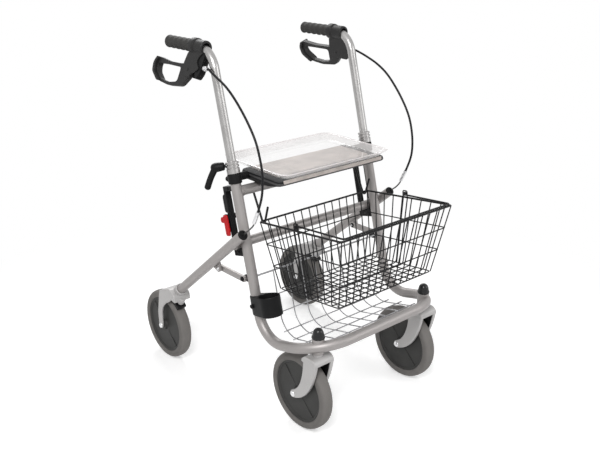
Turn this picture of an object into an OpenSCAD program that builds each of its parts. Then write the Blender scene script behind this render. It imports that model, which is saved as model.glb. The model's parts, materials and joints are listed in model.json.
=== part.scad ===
// Four-wheeled walking frame with hand brakes, seat, clear tray and wire basket.
// Front is -Y, up is +Z and the user's right side is -X. Origin: floor, middle of the length.

/* [Frame] */
// Distance between the axes of the two uprights
frame_w = 442; // [430:1:470]
// Outside diameter of the frame tube
frame_tube_d = 26; // [25:0.5:28]
// Backward lean of the uprights from the vertical
lean = 14.6; // [13:0.1:16]
// Length of the uprights above the plane of the front loop
upright_h = 446; // [440:1:460]
// Place of the foot of the uprights along the length
foot_y = -138; // [-145:1:-130]
// Depth of the front loop ahead of the uprights
loop_depth = 201; // [195:1:210]
// Bend radius at the heel, where an upright turns into the loop
heel_r = 70; // [60:1:80]
// Corner radius of the front loop
loop_corner_r = 105; // [98:1:112]
// Outside diameter of the seat rail
seat_rail_d = 25; // [22:0.5:26]
// Distance of the seat rail below the top of the uprights
seat_rail_drop = 68; // [64:1:72]

/* [Wheels] */
// Diameter of the wheels
wheel_d = 200; // [190:1:210]
// Width of the tyres
wheel_w = 34; // [30:1:38]
// Height of the tyre's rubber section
tyre_h = 16; // [14:1:20]
// Diameter of the wheel axles
axle_d = 8; // [6:0.5:10]
// How far a caster axle trails behind its stem
caster_trail = 58; // [54:1:62]
// Diameter of a caster stem
stem_d = 12; // [10:0.5:14]
// Thickness of a fork arm
fork_t = 6; // [5:0.5:7]
// Gap between tyre and fork crown
crown_gap = 6; // [5:0.5:9]
// Thickness of a fork crown
crown_h = 18; // [15:1:22]

/* [Folding rear frame] */
// Outside diameter of the rear legs
leg_d = 25; // [24:0.5:27]
// Outside diameter of the sliding cross tube
cross_d = 24; // [22:0.5:25]
// Height of the cross tube along the uprights
cross_s = 249.7; // [247:0.1:252]
// Angle of the rear legs below the plane across the uprights
leg_angle = 25.6; // [24:0.1:27]
// Length of a rear leg ahead of the cross tube
leg_front = 68; // [62:1:72]
// Length of a rear leg behind the cross tube
leg_rear = 343; // [336:1:350]
// Clearance between a leg and the upright that it passes
leg_clear = 4.5; // [4.5:0.5:6]
// Height of the lower strut pivot along the uprights
strut_s = 162.6; // [161:0.1:164]
// Length of a strut between its pivots
strut_len = 93.6; // [93:0.1:94]
// Angle of a strut at rest above the plane across the uprights
strut_angle = 13.3; // [13:0.1:13.6]
// Diameter of the strut pivot pins
pivot_d = 6; // [5:0.5:7]
// Play behind the cross tube in its guide
guide_play = 6.2; // [6.2:0.1:8]

/* [Handles and brakes] */
// Outside diameter of the push tubes
push_d = 22; // [20:0.5:22]
// Height of the handle bend along the uprights
handle_s = 716; // [700:1:740]
// Bend radius of the push tubes
push_bend_r = 60; // [50:1:66]
// Length of push tube that stays inside the upright
push_insert = 190; // [180:1:200]
// Travel of the handles below their place at rest
handle_drop = 120; // [100:1:125]
// Length of the level end of a push tube behind the bend point
push_reach = 180; // [176:1:190]
// Length of a hand grip
grip_len = 106; // [100:1:112]
// Diameter of a hand grip
grip_d = 31; // [29:0.5:33]
// Outward tilt of the brake levers about the grips
brake_tilt = 20; // [15:1:25]
// Thickness of the brake lever
lever_t = 12; // [10:0.5:14]
// Width of the finger band of the brake lever
band_w = 26; // [22:1:30]
// Diameter of the brake cable
cable_d = 5; // [4:0.5:5.5]

/* [Seat and tray] */
// Width of the seat
seat_w = 352; // [340:1:360]
// Depth of the seat ahead of its hinge
seat_depth = 124; // [118:1:130]
// Thickness of the seat shell
seat_t = 22; // [18:1:24]
// Thickness of the seat pad
pad_t = 3; // [2:0.5:5]
// Width of the tray at its lip
tray_w = 358; // [345:1:364]
// Depth of the tray at its lip
tray_depth = 250; // [240:1:256]
// Height of the tray
tray_h = 17; // [14:1:20]
// Wall of the tray
tray_wall = 3; // [2.5:0.1:4]

/* [Basket] */
// Width of the basket rim
basket_w = 368; // [350:1:374]
// Depth of the basket rim, front to back
basket_depth = 289; // [280:1:296]
// Height of the basket
basket_h = 174; // [165:1:178]
// How far each side of the basket floor is drawn in
basket_taper = 25; // [20:1:30]
// Diameter of the basket wires
wire_d = 3; // [2.6:0.1:3.4]
// Diameter of the basket rim wire
rim_d = 5; // [4.6:0.1:5.4]
// Diameter of the hooks that carry the basket
hook_d = 5.5; // [5:0.1:6]

/* [Hidden] */

RIGHT = -1;
LEFT = 1;
BOTH = [RIGHT, LEFT];
$fn = 48;
// Overlap that lets a cut pass right through a face
cut = 1;
// Radial clearance of a turning or sliding fit
fit = 0.06;
// Least gap between pieces that move past each other
gap = 0.4;

// Uprights
half_w = frame_w / 2;
frame_r = frame_tube_d / 2;
push_r = push_d / 2;
bore_r = push_r + fit;
loop_x = half_w - loop_corner_r;
loop_t = loop_depth - loop_corner_r;
socket_inset = 8;
socket_r = 15;
stem_x = loop_x + (loop_corner_r - socket_inset) * cos(45);
stem_t = loop_t + (loop_corner_r - socket_inset) * sin(45);
race_h = 5;
socket_drop = 17;
socket_rise = 22;
seat_rail_s = upright_h - seat_rail_drop;
bore_depth = push_insert + handle_drop + 10;
wheel_r = wheel_d / 2;
crown_z = wheel_d + crown_gap;
socket_z = crown_z + crown_h + race_h;
loop_z = socket_z + socket_drop;
foot_z = loop_z - stem_t * sin(lean);
stem_y = foot_y - stem_t * cos(lean);
socket_top = loop_z + socket_rise;
stem_r = stem_d / 2;
caster_y = stem_y + caster_trail;

// Turns a place across and along the uprights, [t, s], into a place [y, z] on the whole frame.
function world(p) = [foot_y + p[0] * cos(lean) + p[1] * sin(lean),
  foot_z - p[0] * sin(lean) + p[1] * cos(lean)];

// Rear frame
leg_r = leg_d / 2;
cross_r = cross_d / 2;
leg_x = half_w + frame_r + leg_clear + leg_r;
cross_gap = 1.2;
cross_t = frame_r + cross_r + cross_gap;
pivot_r = pivot_d / 2;
strut_t = frame_r + 10;
strut_x = half_w + 6.8;
strut_w = 9.4;
eye_r = pivot_r + 6;
leg_wall = 2;
plug_h = 4;
plug_depth = 14;
lug_t = 7;
lug_x = strut_x + strut_w + gap;
knee = [strut_t + strut_len * cos(strut_angle), strut_s + strut_len * sin(strut_angle)];
leg_dir = [cos(leg_angle), -sin(leg_angle)];
leg_end = [cross_t, cross_s] + leg_rear * leg_dir;
leg_end_w = world(leg_end);
knee_along = (knee - [cross_t, cross_s]) * leg_dir;
knee_drop = (knee - [cross_t, cross_s]) * [sin(leg_angle), cos(leg_angle)];

// Guides of the cross tube
guide_x = half_w - 12;
guide_w = 16.5;
rail_t = cross_t + cross_r + guide_play;
rail_h = 9;
guide_low = 217;
guide_stop = cross_s - cross_r - gap;
guide_over = 1.7;
guide_top = seat_rail_s + guide_over;
guide_cap = 12;

// Latch on the right guide
latch_s = 316;
latch_t = rail_t + rail_h + 7;
latch_r = 6;
latch_pin_r = 2.5;
latch_len = 40;
window_s = 272;
window_h = 22;
nose_w = 8;
ear_t = 2.5;
tab_low = 17;
tab_h = 15;
tab_len = 16;
cheek_t = 3;
cheek_h = 54;
cover_s = 326;
cover_h = 46;
cover_d = 9;

// Rear wheels
rear_x = leg_x + 1;
rear_reach = 58.8;
fork_socket = 60;
fork_sleeve = 30;
rear_y = leg_end_w[0] + rear_reach;
axle_r = axle_d / 2;
bolt_h = 3;
arm_gap = 3;
arm_x = wheel_w / 2 + arm_gap;
boss_w = 2 * arm_x - 1.2;
shoe_angle = 128;
shoe_travel = 2;
shoe_gap = 0.6;
shoe_r = wheel_r + shoe_travel + shoe_gap;
shoe_h = 12;
shoe_pin_r = 4;

// Height clamps and seat hinge
clamp_r = frame_r + 3.5;
collar_r = frame_r + 3;
clamp_h = 24;
collar_h = 24;
clamp_s = upright_h - clamp_h - collar_h;
collar_top = upright_h + 6;
clamp_lever_s = collar_top - 9;
hinge_t = 10;
hinge_s = clamp_s + 13;
hinge = world([hinge_t, hinge_s]);
hinge_r = 4;
knuckle_r = 8.8;
seat_rise = 12;
seat_top = hinge[1] + seat_rise;
seat_front = hinge[0] - seat_depth;
seat_behind = 28;
seat_corner = 14;
pad_front = 90;
pad_behind = 20;
pad_w = seat_w - 48;
pad_corner = 10;
tray_ahead = 145;
tray_front = hinge[0] - tray_ahead;
tray_flare = 18;

// Basket
rail_w = world([0, seat_rail_s]);
basket_ahead = 38.5;
basket_drop = 75.3;
basket_y = rail_w[0] - basket_ahead;
basket_z = rail_w[1] - basket_drop;
basket_tilt = 7;
front_taper = basket_taper + 28;
floor_w = basket_w - 2 * basket_taper;
floor_back = -basket_taper;
floor_front = front_taper - basket_depth;
ring_levels = [0.33, 0.66];
weld = 0.5;
hook_x = basket_w / 2 - 12;
hook_gap = 0.3;
hook_arc = rim_d / 2 + hook_gap + hook_d / 2;
hook_stub = 44;
bail_d = 4.5;
bail_x = basket_w / 2 - 7;
bail_pin = [-0.478 * basket_depth, 9];
ear_h = 17;
ear_gap = 13;
eyelet_w = 5;
eyelet_r = (ear_gap - wire_d) / 2 + 0.3;

// Wire shelf inside the front loop
shelf_wire = 3.2;
shelf_top = 165;
shelf_top_r = 2.4;
shelf_arc = 56;
shelf_lift = -9;
shelf_count = 8;
shelf_step = frame_w / 9.85;
shelf_over = 12;
shelf_backs = [61, 105];
shelf_row_gap = 48;
shelf_rows = [for (i = [0:2]) shelf_arc + i * shelf_row_gap];
shelf_in_r = loop_corner_r - sqrt(pow(frame_r, 2) - pow(abs(shelf_lift) - shelf_wire / 2, 2));
function shelf_front(x) =
  loop_t + sqrt(pow(shelf_in_r, 2) - pow(max(0, abs(x) + shelf_wire / 2 - loop_x), 2)) - 0.05;

// Cane cup, which stands along the right upright, ahead of it
cup_r = 25;
cup_wall = 2.4;
cup_in = 7;
cup_ahead = 44;
cup_low = 70;
cup_h = 50;
cup_floor = 4;
cup_screw_r = 5.5;
cup_screw_h = 6;

// Handle
turn = 90 - lean;
bend_run = push_bend_r * tan(turn / 2);
bend_s = handle_s - bend_run;
corner_w = world([0, handle_s]);
grip_front = push_reach - grip_len;
grip_end_t = 3;
grip_steps = 40;
finger_n = 5;
finger_depth = 1.2;
// Outline of the grip from its front to its end, with hollows for the fingers.
grip_edge = [
  for (i = [0:grip_steps])
    let (u = i / grip_steps)
      [grip_d / 2 - finger_depth * (1 - cos(360 * finger_n * u)), grip_len * u]];

// Brake, drawn as [back, up] from the corner of the push tube
ring_w = 18;
ring_r = 20;
ring_back = grip_front - gap;
sleeve_r = 17;
sleeve_front = 20;
housing_t = 20;
housing_edge = [[8, -12], [ring_back - 6, -12], [76, -18], [84, -46], [70, -74], [22, -76], [12, -60]];
slot_edge = [[40, -36], [100, -36], [100, -100], [28, -100], [34, -60]];
lever_edge = [[52, -46], [70, -42], [94, -47], [148, -48], [202, -42], [213, -58], [211, -80],
  [180, -101], [134, -106], [78, -100], [52, -72]];
finger_window = [[96, -56], [170, -56], [200, -58], [199, -77], [174, -95], [134, -98], [100, -92]];
band_edge = [[196, -45], [203, -41], [214, -59], [211, -81], [181, -102], [174, -98], [202, -78],
  [206, -61]];
lever_pin = [62, -58];
lever_pin_r = 3;
barrel_r = 4.5;
barrel_len = 20;
barrel_at = [-6, -47];

// Clamp levers of the handle height
lever_hub_r = 8;
lever_hub_w = 24;
lever_stud_r = 4;
lever_out = 10;
lever_down = 46;
lever_tip_r = 5.5;

// Routes of the brake cables on the left side, from the lever housing to the rear leg
leg_fall = leg_angle + lean;
leg_way = [0, cos(leg_fall), -sin(leg_fall)];
leg_tip = world([cross_t, cross_s] - (leg_front + plug_h) * leg_dir);
plug_face = [leg_x, leg_tip[0], leg_tip[1]];
cable_top = [half_w - barrel_at[1] * sin(brake_tilt), corner_w[0] + barrel_at[0] - gap,
  corner_w[1] + barrel_at[1] * cos(brake_tilt)];
ferrule_at = [-3, -38, 38];
ferrule_low = plug_face + ferrule_at;
ferrule_way = unit([0, -16, 32]);
ferrule_len = 37;
ferrule_d = 9;
inner_d = 3;
cable_low = ferrule_low + (ferrule_len + gap) * ferrule_way;
cable_shape = [
  [237, 36, 853], [237.6, 30, 852.4], [240, 16, 848], [242, -5, 841], [244, -43, 826], [246, -80, 803],
  [246, -118, 767], [246, -149, 728], [247, -166, 694], [247, -176, 655], [248, -177, 620],
  [248, -172, 593], [248, -159, 560]];
cable_route = moved(cable_shape, cable_top, cable_low);
inner_route = [ferrule_low + cut * ferrule_way, ferrule_low - 8 * ferrule_way,
  plug_face - 28 * leg_way - [0.6, 0, 0.6], plug_face - 12 * leg_way, plug_face - gap * leg_way];

// Helpers

module on_uprights() {
  translate([0, foot_y, foot_z])
    rotate([-lean, 0, 0])
      children();
}

module on_leg() {
  on_uprights()
    translate([0, cross_t, cross_s])
      rotate([-leg_angle, 0, 0])
        children();
}

module on_basket() {
  translate([0, basket_y, basket_z])
    rotate([-basket_tilt, 0, 0])
      children();
}

module on_side(side) {
  mirror([side < 0 ? 1 : 0, 0, 0])
    children();
}

// Plane of a brake lever: x across, y along the grip, z up, origin at the corner of the push tube.
module on_brake() {
  translate([half_w, corner_w[0], corner_w[1]])
    rotate([0, -brake_tilt, 0])
      children();
}

// Extrudes an outline drawn in (y, z) along x, centred on the place x.
module plate(x, thick) {
  translate([x - thick / 2, 0, 0])
    rotate([90, 0, 90])
      linear_extrude(thick)
        children();
}

// Cylinder along x, from x to x + length.
module bar_x(x, length, r) {
  translate([x, 0, 0])
    rotate([0, 90, 0])
      cylinder(h = length, r = r);
}

// Straight wire between two points.
module rod(a, b, d, sides) {
  v = b - a;
  len_v = norm(v);
  translate(a)
    rotate([0, acos(v[2] / len_v), atan2(v[1], v[0])])
      cylinder(h = len_v, d = d, $fn = sides);
}

module rounded_slab(w, d, h, r) {
  linear_extrude(h)
    union() {
      square([w - 2 * r, d], center = true);
      square([w, d - 2 * r], center = true);
      for (sx = BOTH, sy = BOTH)
        translate([sx * (w / 2 - r), sy * (d / 2 - r)])
          circle(r);
    }
}

function unit(v) = v / norm(v);
function bezier(a, b, c, u) = (1 - u) * (1 - u) * a + 2 * u * (1 - u) * b + u * u * c;
function slope(a, b, c, u) = unit(2 * (1 - u) * (b - a) + 2 * u * (c - b));

// Outline of an arm of changing width along a curve.
function arm_edge(a, b, c, w0, w1, n, sign) = [
  for (i = [0:n])
    let (u = i / n, p = bezier(a, b, c, u), d = slope(a, b, c, u), w = w0 + (w1 - w0) * u)
      p + sign * w / 2 * [-d[1], d[0]]];
function reverse(l) = [for (i = [len(l) - 1:-1:0]) l[i]];
function arm(a, b, c, w0, w1, n) =
  concat(arm_edge(a, b, c, w0, w1, n, 1), reverse(arm_edge(a, b, c, w0, w1, n, -1)));

// Points of an arc in a plane of constant x.
function arc_yz(x, c, r, a0, a1, n) = [
  for (i = [0:n])
    let (a = a0 + (a1 - a0) * i / n)
      [x, c[0] + r * cos(a), c[1] + r * sin(a)]];

// Points of a curve drawn between other ends, with its ends moved to a and b.
function moved(p, a, b) =
  let (n = len(p) - 1)
    [for (i = [0:n]) p[i] + (1 - i / n) * (a - p[0]) + i / n * (b - p[n])];

// Smooth curve through points, with a number of steps between each two.
function between(p, i, u) =
  let (n = len(p) - 1, a = p[max(i - 1, 0)], b = p[i], c = p[i + 1], d = p[min(i + 2, n)])
    b + u / 2 * (c - a + u * (2 * a - 5 * b + 4 * c - d + u * (3 * b - a - 3 * c + d)));
function smooth(p, steps) = concat(
  [for (i = [0:len(p) - 2], k = [0:steps - 1]) between(p, i, k / steps)], [p[len(p) - 1]]);

// Round wire or cable swept along points, with flat ends.
function run(p, i) = unit(p[min(i + 1, len(p) - 1)] - p[max(i - 1, 0)]);
function ring(p, i, d, sides, side_way) =
  let (t = run(p, i), u = unit(side_way - (side_way * t) * t), v = cross(t, u))
    [for (k = [0:sides - 1]) p[i] + d / 2 * (cos(360 * k / sides) * u + sin(360 * k / sides) * v)];
module swept(p, d, sides, side_way) {
  n = len(p);
  points = [for (i = [0:n - 1]) each ring(p, i, d, sides, side_way)];
  wall = [
    for (i = [0:n - 2], k = [0:sides - 1])
      let (a = i * sides + k, b = i * sides + (k + 1) % sides)
        each [[a, a + sides, b], [b, a + sides, b + sides]]];
  first = [for (k = [1:sides - 2]) [0, k, k + 1]];
  base = (n - 1) * sides;
  last = [for (k = [1:sides - 2]) [base, base + k + 1, base + k]];
  polyhedron(points = points, faces = concat(wall, first, last), convexity = 6);
}

// Front frame

module loop_outline() {
  for (side = BOTH)
    on_side(side) {
      translate([half_w, 0, heel_r])
        cylinder(h = upright_h - heel_r, r = frame_r);
      translate([half_w, -heel_r, heel_r])
        rotate([0, 90, 0])
          rotate_extrude(angle = 90)
            translate([heel_r, 0])
              circle(frame_r);
      translate([half_w, -loop_t, 0])
        rotate([-90, 0, 0])
          cylinder(h = loop_t - heel_r, r = frame_r);
      translate([loop_x, -loop_t, 0])
        rotate([0, 0, -90])
          rotate_extrude(angle = 90)
            translate([loop_corner_r, 0])
              circle(frame_r);
    }
  translate([0, -loop_depth, 0])
    bar_x(-loop_x, 2 * loop_x, frame_r);
}

module socket_posts(r) {
  for (side = BOTH)
    translate([side * stem_x, stem_y, socket_z])
      cylinder(h = socket_top - socket_z, r = r);
}

module front_frame() {
  color("silver")
    difference() {
      on_uprights()
        difference() {
          loop_outline();
          for (side = BOTH)
            translate([side * half_w, 0, upright_h - bore_depth])
              cylinder(h = bore_depth + cut, r = bore_r);
        }
      socket_posts(socket_r);
    }
}

module seat_rail() {
  color("silver")
    on_uprights()
      difference() {
        translate([0, 0, seat_rail_s])
          bar_x(-half_w, frame_w, seat_rail_d / 2);
        for (side = BOTH)
          translate([side * half_w, 0, seat_rail_s - seat_rail_d])
            cylinder(h = 2 * seat_rail_d, r = frame_r);
      }
}

module caster_sockets() {
  color("silver")
    difference() {
      socket_posts(socket_r);
      for (side = BOTH)
        translate([side * stem_x, stem_y, socket_z - cut])
          cylinder(h = socket_top - socket_z + 2 * cut, r = stem_r + fit);
    }
}

module socket_caps() {
  cap_r = socket_r + 1;
  dome_r = socket_r - 1;
  dome_rise = 12;
  color("black")
    for (side = BOTH)
      translate([side * stem_x, stem_y, socket_top])
        union() {
          cylinder(h = 5, r = cap_r);
          cylinder(h = dome_rise, r = dome_r);
          translate([0, 0, dome_rise])
            intersection() {
              sphere(dome_r);
              cylinder(h = dome_r, r = dome_r);
            }
        }
}

module shelf_wire_run(x, front) {
  bend = arc_yz(x, [-shelf_arc, shelf_lift + shelf_arc], shelf_arc, -90, 0, 8);
  swept(concat([[x, -front, shelf_lift]], bend, [[x, 0, shelf_top]]), shelf_wire, 8, [1, 0, 0]);
}

module shelf_grid() {
  half = shelf_wire / 2;
  far = (shelf_count - 1) / 2;
  reach = far * shelf_step + shelf_over;
  span = half_w - frame_r;
  color("gainsboro")
    on_uprights()
      union() {
        for (i = [-far:far])
          shelf_wire_run(i * shelf_step, shelf_front(i * shelf_step));
        translate([0, 0, shelf_top])
          bar_x(-span, 2 * span, shelf_top_r, $fn = 8);
        for (t = shelf_rows)
          translate([0, -t, shelf_lift + half])
            bar_x(-reach, 2 * reach, half, $fn = 8);
        for (s = shelf_backs)
          translate([0, -half, s])
            bar_x(-reach, 2 * reach, half, $fn = 8);
      }
}

module guide(side) {
  color("black")
    on_uprights()
      on_side(side)
        difference() {
          union() {
            translate([guide_x, rail_t, guide_low])
              cube([guide_w, rail_h, guide_top + guide_cap - guide_low]);
            translate([guide_x, 0, guide_top])
              cube([guide_w, rail_t + rail_h, guide_cap]);
            translate([guide_x, 0, guide_low])
              cube([guide_w, rail_t + rail_h, guide_stop - guide_low]);
            if (side == RIGHT)
              latch_ears();
            if (side == RIGHT)
              translate([guide_x, rail_t + rail_h - cut, cover_s])
                cube([guide_w, cover_d + cut, cover_h]);
          }
          translate([half_w, 0, guide_low - cut])
            cylinder(h = guide_top + guide_cap - guide_low + 2 * cut, r = frame_r);
          translate([0, 0, seat_rail_s])
            bar_x(guide_x - cut, guide_w, seat_rail_d / 2 + gap);
          if (side == RIGHT)
            translate([guide_x + (guide_w - nose_w) / 2 - 1, rail_t - cut, window_s])
              cube([nose_w + 2, rail_h + 2 * cut, window_h]);
        }
}

module latch_ears() {
  wide = guide_w + 2 * gap;
  for (x = [guide_x - gap - ear_t, guide_x + guide_w + gap])
    translate([x, 0, 0]) {
      translate([0, latch_t, latch_s])
        bar_x(0, ear_t, latch_r + 1);
      translate([0, rail_t, latch_s - latch_r])
        cube([ear_t, latch_t - rail_t, 2 * latch_r]);
    }
  for (x = [guide_x - gap - ear_t, guide_x + guide_w])
    translate([x, rail_t, latch_s - latch_r])
      cube([ear_t + gap, rail_h, 2 * latch_r]);
  translate([guide_x - gap, latch_t, latch_s])
    bar_x(0, wide, latch_pin_r);
}

module lock_latch() {
  nose_t = cross_t + cross_r + guide_play + 1.5;
  body_t = latch_t - latch_r;
  cheek_x = guide_x + guide_w + ear_t + 2 * gap;
  cheek_from = rail_t + cheek_t;
  color("red")
    on_uprights()
      on_side(RIGHT)
        difference() {
          union() {
            translate([0, latch_t, latch_s])
              bar_x(guide_x, guide_w, latch_r);
            translate([guide_x, body_t, latch_s - latch_len])
              cube([guide_w, 2 * latch_r, latch_len]);
            translate([guide_x + (guide_w - nose_w) / 2, nose_t, latch_s - latch_len + 1])
              cube([nose_w, body_t - nose_t + cut, 9]);
            translate([guide_x, latch_t, latch_s - tab_low])
              cube([guide_w, latch_r + tab_len, tab_h]);
            translate([guide_x, latch_t + latch_r + tab_len, latch_s - tab_low + tab_h / 2])
              bar_x(0, guide_w, tab_h / 2);
            translate([cheek_x, cheek_from, latch_s + latch_r - cheek_h])
              cube([cheek_t, latch_t + latch_r - cheek_from, cheek_h]);
            translate([guide_x + guide_w - cut, body_t, latch_s - latch_len])
              cube([cheek_x - guide_x - guide_w + 2 * cut, 2 * latch_r, latch_len - latch_r - 3]);
          }
          translate([0, latch_t, latch_s])
            bar_x(guide_x - cut, guide_w + 2 * cut, latch_pin_r + fit);
        }
}

module upright_lugs() {
  color("dimgray")
    on_uprights()
      for (side = BOTH)
        on_side(side)
          translate([0, strut_t, strut_s])
            difference() {
              union() {
                bar_x(half_w - 8, strut_x - gap - half_w + 8, eye_r);
                translate([half_w - 8, -strut_t, -eye_r])
                  cube([strut_x - gap - half_w + 8, strut_t, 2 * eye_r]);
                bar_x(half_w, strut_x + strut_w + gap - half_w, pivot_r);
                bar_x(strut_x + strut_w + gap, 3, pivot_r + 2);
              }
              translate([half_w, -strut_t, -2 * eye_r])
                cylinder(h = 4 * eye_r, r = frame_r);
            }
}

module height_collars() {
  groove = 1.2;
  color("lightgray")
    on_uprights()
      for (side = BOTH)
        translate([side * half_w, 0, 0])
          difference() {
            translate([0, 0, clamp_s + clamp_h])
              cylinder(h = collar_top - clamp_s - clamp_h, r = collar_r);
            translate([0, 0, clamp_s])
              cylinder(h = upright_h - clamp_s, r = frame_r);
            cylinder(h = collar_top + cut, r = bore_r);
            for (s = [collar_top - 9, collar_top - 17])
              translate([0, 0, s])
                difference() {
                  cylinder(h = 2.4, r = collar_r + cut);
                  translate([0, 0, -cut])
                    cylinder(h = 2.4 + 2 * cut, r = collar_r - groove);
                }
          }
}

module seat_clamps() {
  knob_t = 24;
  color("black")
    on_uprights()
      for (side = BOTH)
        on_side(side)
          difference() {
            union() {
              translate([half_w, 0, clamp_s])
                cylinder(h = clamp_h, r = clamp_r);
              translate([half_w - 6, 0, clamp_s + 4])
                cube([12, knob_t, clamp_h - 8]);
              translate([half_w, knob_t, clamp_s + clamp_h / 2])
                rotate([-90, 0, 0])
                  cylinder(h = 8, r = 6);
              translate([0, hinge_t, hinge_s])
                bar_x(seat_w / 2 + gap, half_w - seat_w / 2 - gap, knuckle_r);
              translate([0, hinge_t, hinge_s])
                bar_x(seat_w / 2 - 22, half_w - seat_w / 2 + 22, hinge_r);
            }
            translate([half_w, 0, clamp_s - cut])
              cylinder(h = clamp_h + 2 * cut, r = frame_r);
          }
}

module basket_hooks() {
  rim = [basket_y, basket_z];
  arm_up = unit([rail_w[0] - 4, rail_w[1]] - rim);
  arm_turn = atan2(arm_up[1], arm_up[0]) - 90;
  stub_turn = 196;
  bend = arc_yz(hook_x, rim, hook_arc, arm_turn, stub_turn - 360, 8);
  stub_way = [0, -sin(stub_turn - 180), cos(stub_turn - 180)];
  color("black")
    for (side = BOTH)
      on_side(side)
        difference() {
          swept(concat([[hook_x, rail_w[0], rail_w[1]]], bend, [bend[8] + hook_stub * stub_way]),
            hook_d, 12, [1, 0, 0]);
          translate([hook_x - 10, rail_w[0], rail_w[1]])
            bar_x(0, 20, seat_rail_d / 2);
        }
}

module cane_cup() {
  band_r = frame_r + cup_wall;
  web_in = 0.94;
  cup_at = [cup_in, -cup_ahead];
  across = [cup_ahead, cup_in] / norm(cup_at);
  color("black")
    on_uprights()
      translate([-half_w, 0, cup_low])
        difference() {
          union() {
            cylinder(h = cup_h, r = band_r);
            translate([cup_in, -cup_ahead, 0])
              cylinder(h = cup_h, r = cup_r + cup_wall);
            linear_extrude(cup_h)
              polygon([web_in * band_r * across, -web_in * band_r * across,
                cup_at - web_in * cup_r * across, cup_at + web_in * cup_r * across]);
          }
          translate([0, 0, -cut])
            cylinder(h = cup_h + 2 * cut, r = frame_r);
          translate([cup_in, -cup_ahead, cup_floor])
            cylinder(h = cup_h, r = cup_r);
        }
}

module cup_screw() {
  color("black")
    on_uprights()
      translate([-half_w - frame_r - cup_wall, 0, cup_low + cup_h / 2])
        bar_x(-cup_screw_h, cup_screw_h, cup_screw_r);
}

// Brake cables

module brake_cable(side) {
  color("black")
    on_side(side)
      swept(smooth(cable_route, 3), cable_d, 8, [1, 0, 0]);
}

module cable_end(side) {
  color("lightgray")
    on_side(side)
      union() {
        rod(ferrule_low, ferrule_low + ferrule_len * ferrule_way, ferrule_d, 48);
        swept(smooth(inner_route, 2), inner_d, 8, [1, 0, 0]);
      }
}

// Folding rear frame

module strut(side) {
  bar_h = 2 * (eye_r - 1);
  color("silver")
    on_uprights()
      on_side(side)
        translate([strut_x, strut_t, strut_s])
          rotate([strut_angle, 0, 0])
            difference() {
              union() {
                for (y = [0, strut_len])
                  translate([0, y, 0])
                    bar_x(0, strut_w, eye_r);
                translate([1, 0, -bar_h / 2])
                  cube([strut_w - 2, strut_len, bar_h]);
              }
              for (y = [0, strut_len])
                translate([0, y, 0])
                  bar_x(-cut, strut_w + 2 * cut, pivot_r + fit);
            }
}

module rear_leg(side) {
  web = leg_r - 3.5;
  color("silver")
    on_leg()
      on_side(side)
        union() {
          difference() {
            translate([leg_x, -leg_front, 0])
              rotate([-90, 0, 0])
                cylinder(h = leg_front + leg_rear, r = leg_r);
            translate([leg_x, -leg_front - cut, 0])
              rotate([-90, 0, 0])
                cylinder(h = leg_front + leg_rear + 2 * cut, r = leg_r - leg_wall);
          }
          translate([0, knee_along, knee_drop]) {
            bar_x(lug_x, lug_t, eye_r);
            bar_x(strut_x - gap, lug_x - strut_x + gap, pivot_r);
            bar_x(lug_x + lug_t, 3, pivot_r + 2);
          }
          translate([lug_x, knee_along - eye_r, knee_drop])
            cube([lug_t, 2 * eye_r, -knee_drop - web]);
        }
}

module rear_cross_tube() {
  color("silver")
    on_leg()
      difference() {
        bar_x(-leg_x, 2 * leg_x, cross_r);
        bar_x(-leg_x - cut, 2 * leg_x + 2 * cut, cross_r - leg_wall);
        for (side = BOTH)
          translate([side * leg_x, -leg_d, 0])
            rotate([-90, 0, 0])
              cylinder(h = 2 * leg_d, r = leg_r);
      }
}

module leg_plugs() {
  color("black")
    on_leg()
      for (side = BOTH)
        translate([side * leg_x, -leg_front, 0])
          rotate([90, 0, 0]) {
            cylinder(h = plug_h, r1 = leg_r, r2 = leg_r - 1.5);
            translate([0, 0, -plug_depth])
              cylinder(h = plug_depth, r = leg_r - leg_wall - fit);
          }
}

module fork_arm(x, a, b, c, w0, w1, eye) {
  plate(x, fork_t)
    union() {
      polygon(arm(a, b, c, w0, w1, 12));
      translate(c)
        circle(eye);
    }
}

module rear_fork(side) {
  arm_at = arm_x + fork_t / 2;
  eye = axle_r + 6;
  crown = [[-86, 0], [-82, 22], [-58, 34], [-26, 24], [-2, 12], [-2, 6], [-26, 2], [-50, -2],
    [-57, 5], [-66, 3]];
  horn = [[9, 0], [11, 40], [2, 85], [-2, 112], [-50, 112], [-44, 82], [-22, 62], [-9, 35], [-9, 0]];
  color("silver")
    on_side(side)
      difference() {
        union() {
          plate(rear_x, 2 * arm_x + 2 * fork_t)
            translate([rear_y, wheel_d])
              polygon(crown);
          for (way = BOTH)
            plate(rear_x + way * arm_at, fork_t)
              translate([rear_y, wheel_r])
                union() {
                  polygon(horn);
                  circle(eye);
                }
          on_leg()
            translate([leg_x, leg_rear - fork_sleeve, 0])
              rotate([-90, 0, 0])
                cylinder(h = fork_sleeve + 4, r = leg_r + 4);
          on_shoe()
            translate([0, shoe_r + shoe_h + shoe_travel + shoe_gap, 0])
              rotate([-90, 0, 0])
                cylinder(h = 22, r = shoe_pin_r + 5);
        }
        on_leg()
          translate([leg_x, leg_rear - fork_socket, 0])
            rotate([-90, 0, 0])
              cylinder(h = fork_socket, r = leg_r);
        translate([0, rear_y, wheel_r])
          bar_x(rear_x - arm_at - fork_t, 2 * arm_at + 2 * fork_t, axle_r + fit);
        on_shoe()
          rotate([-90, 0, 0])
            cylinder(h = shoe_r + shoe_h + 20, r = shoe_pin_r + fit);
      }
}

// Radial line of the brake shoe: y points from the axle through the shoe.
module on_shoe() {
  translate([rear_x, rear_y, wheel_r])
    rotate([shoe_angle, 0, 0])
      children();
}

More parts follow.
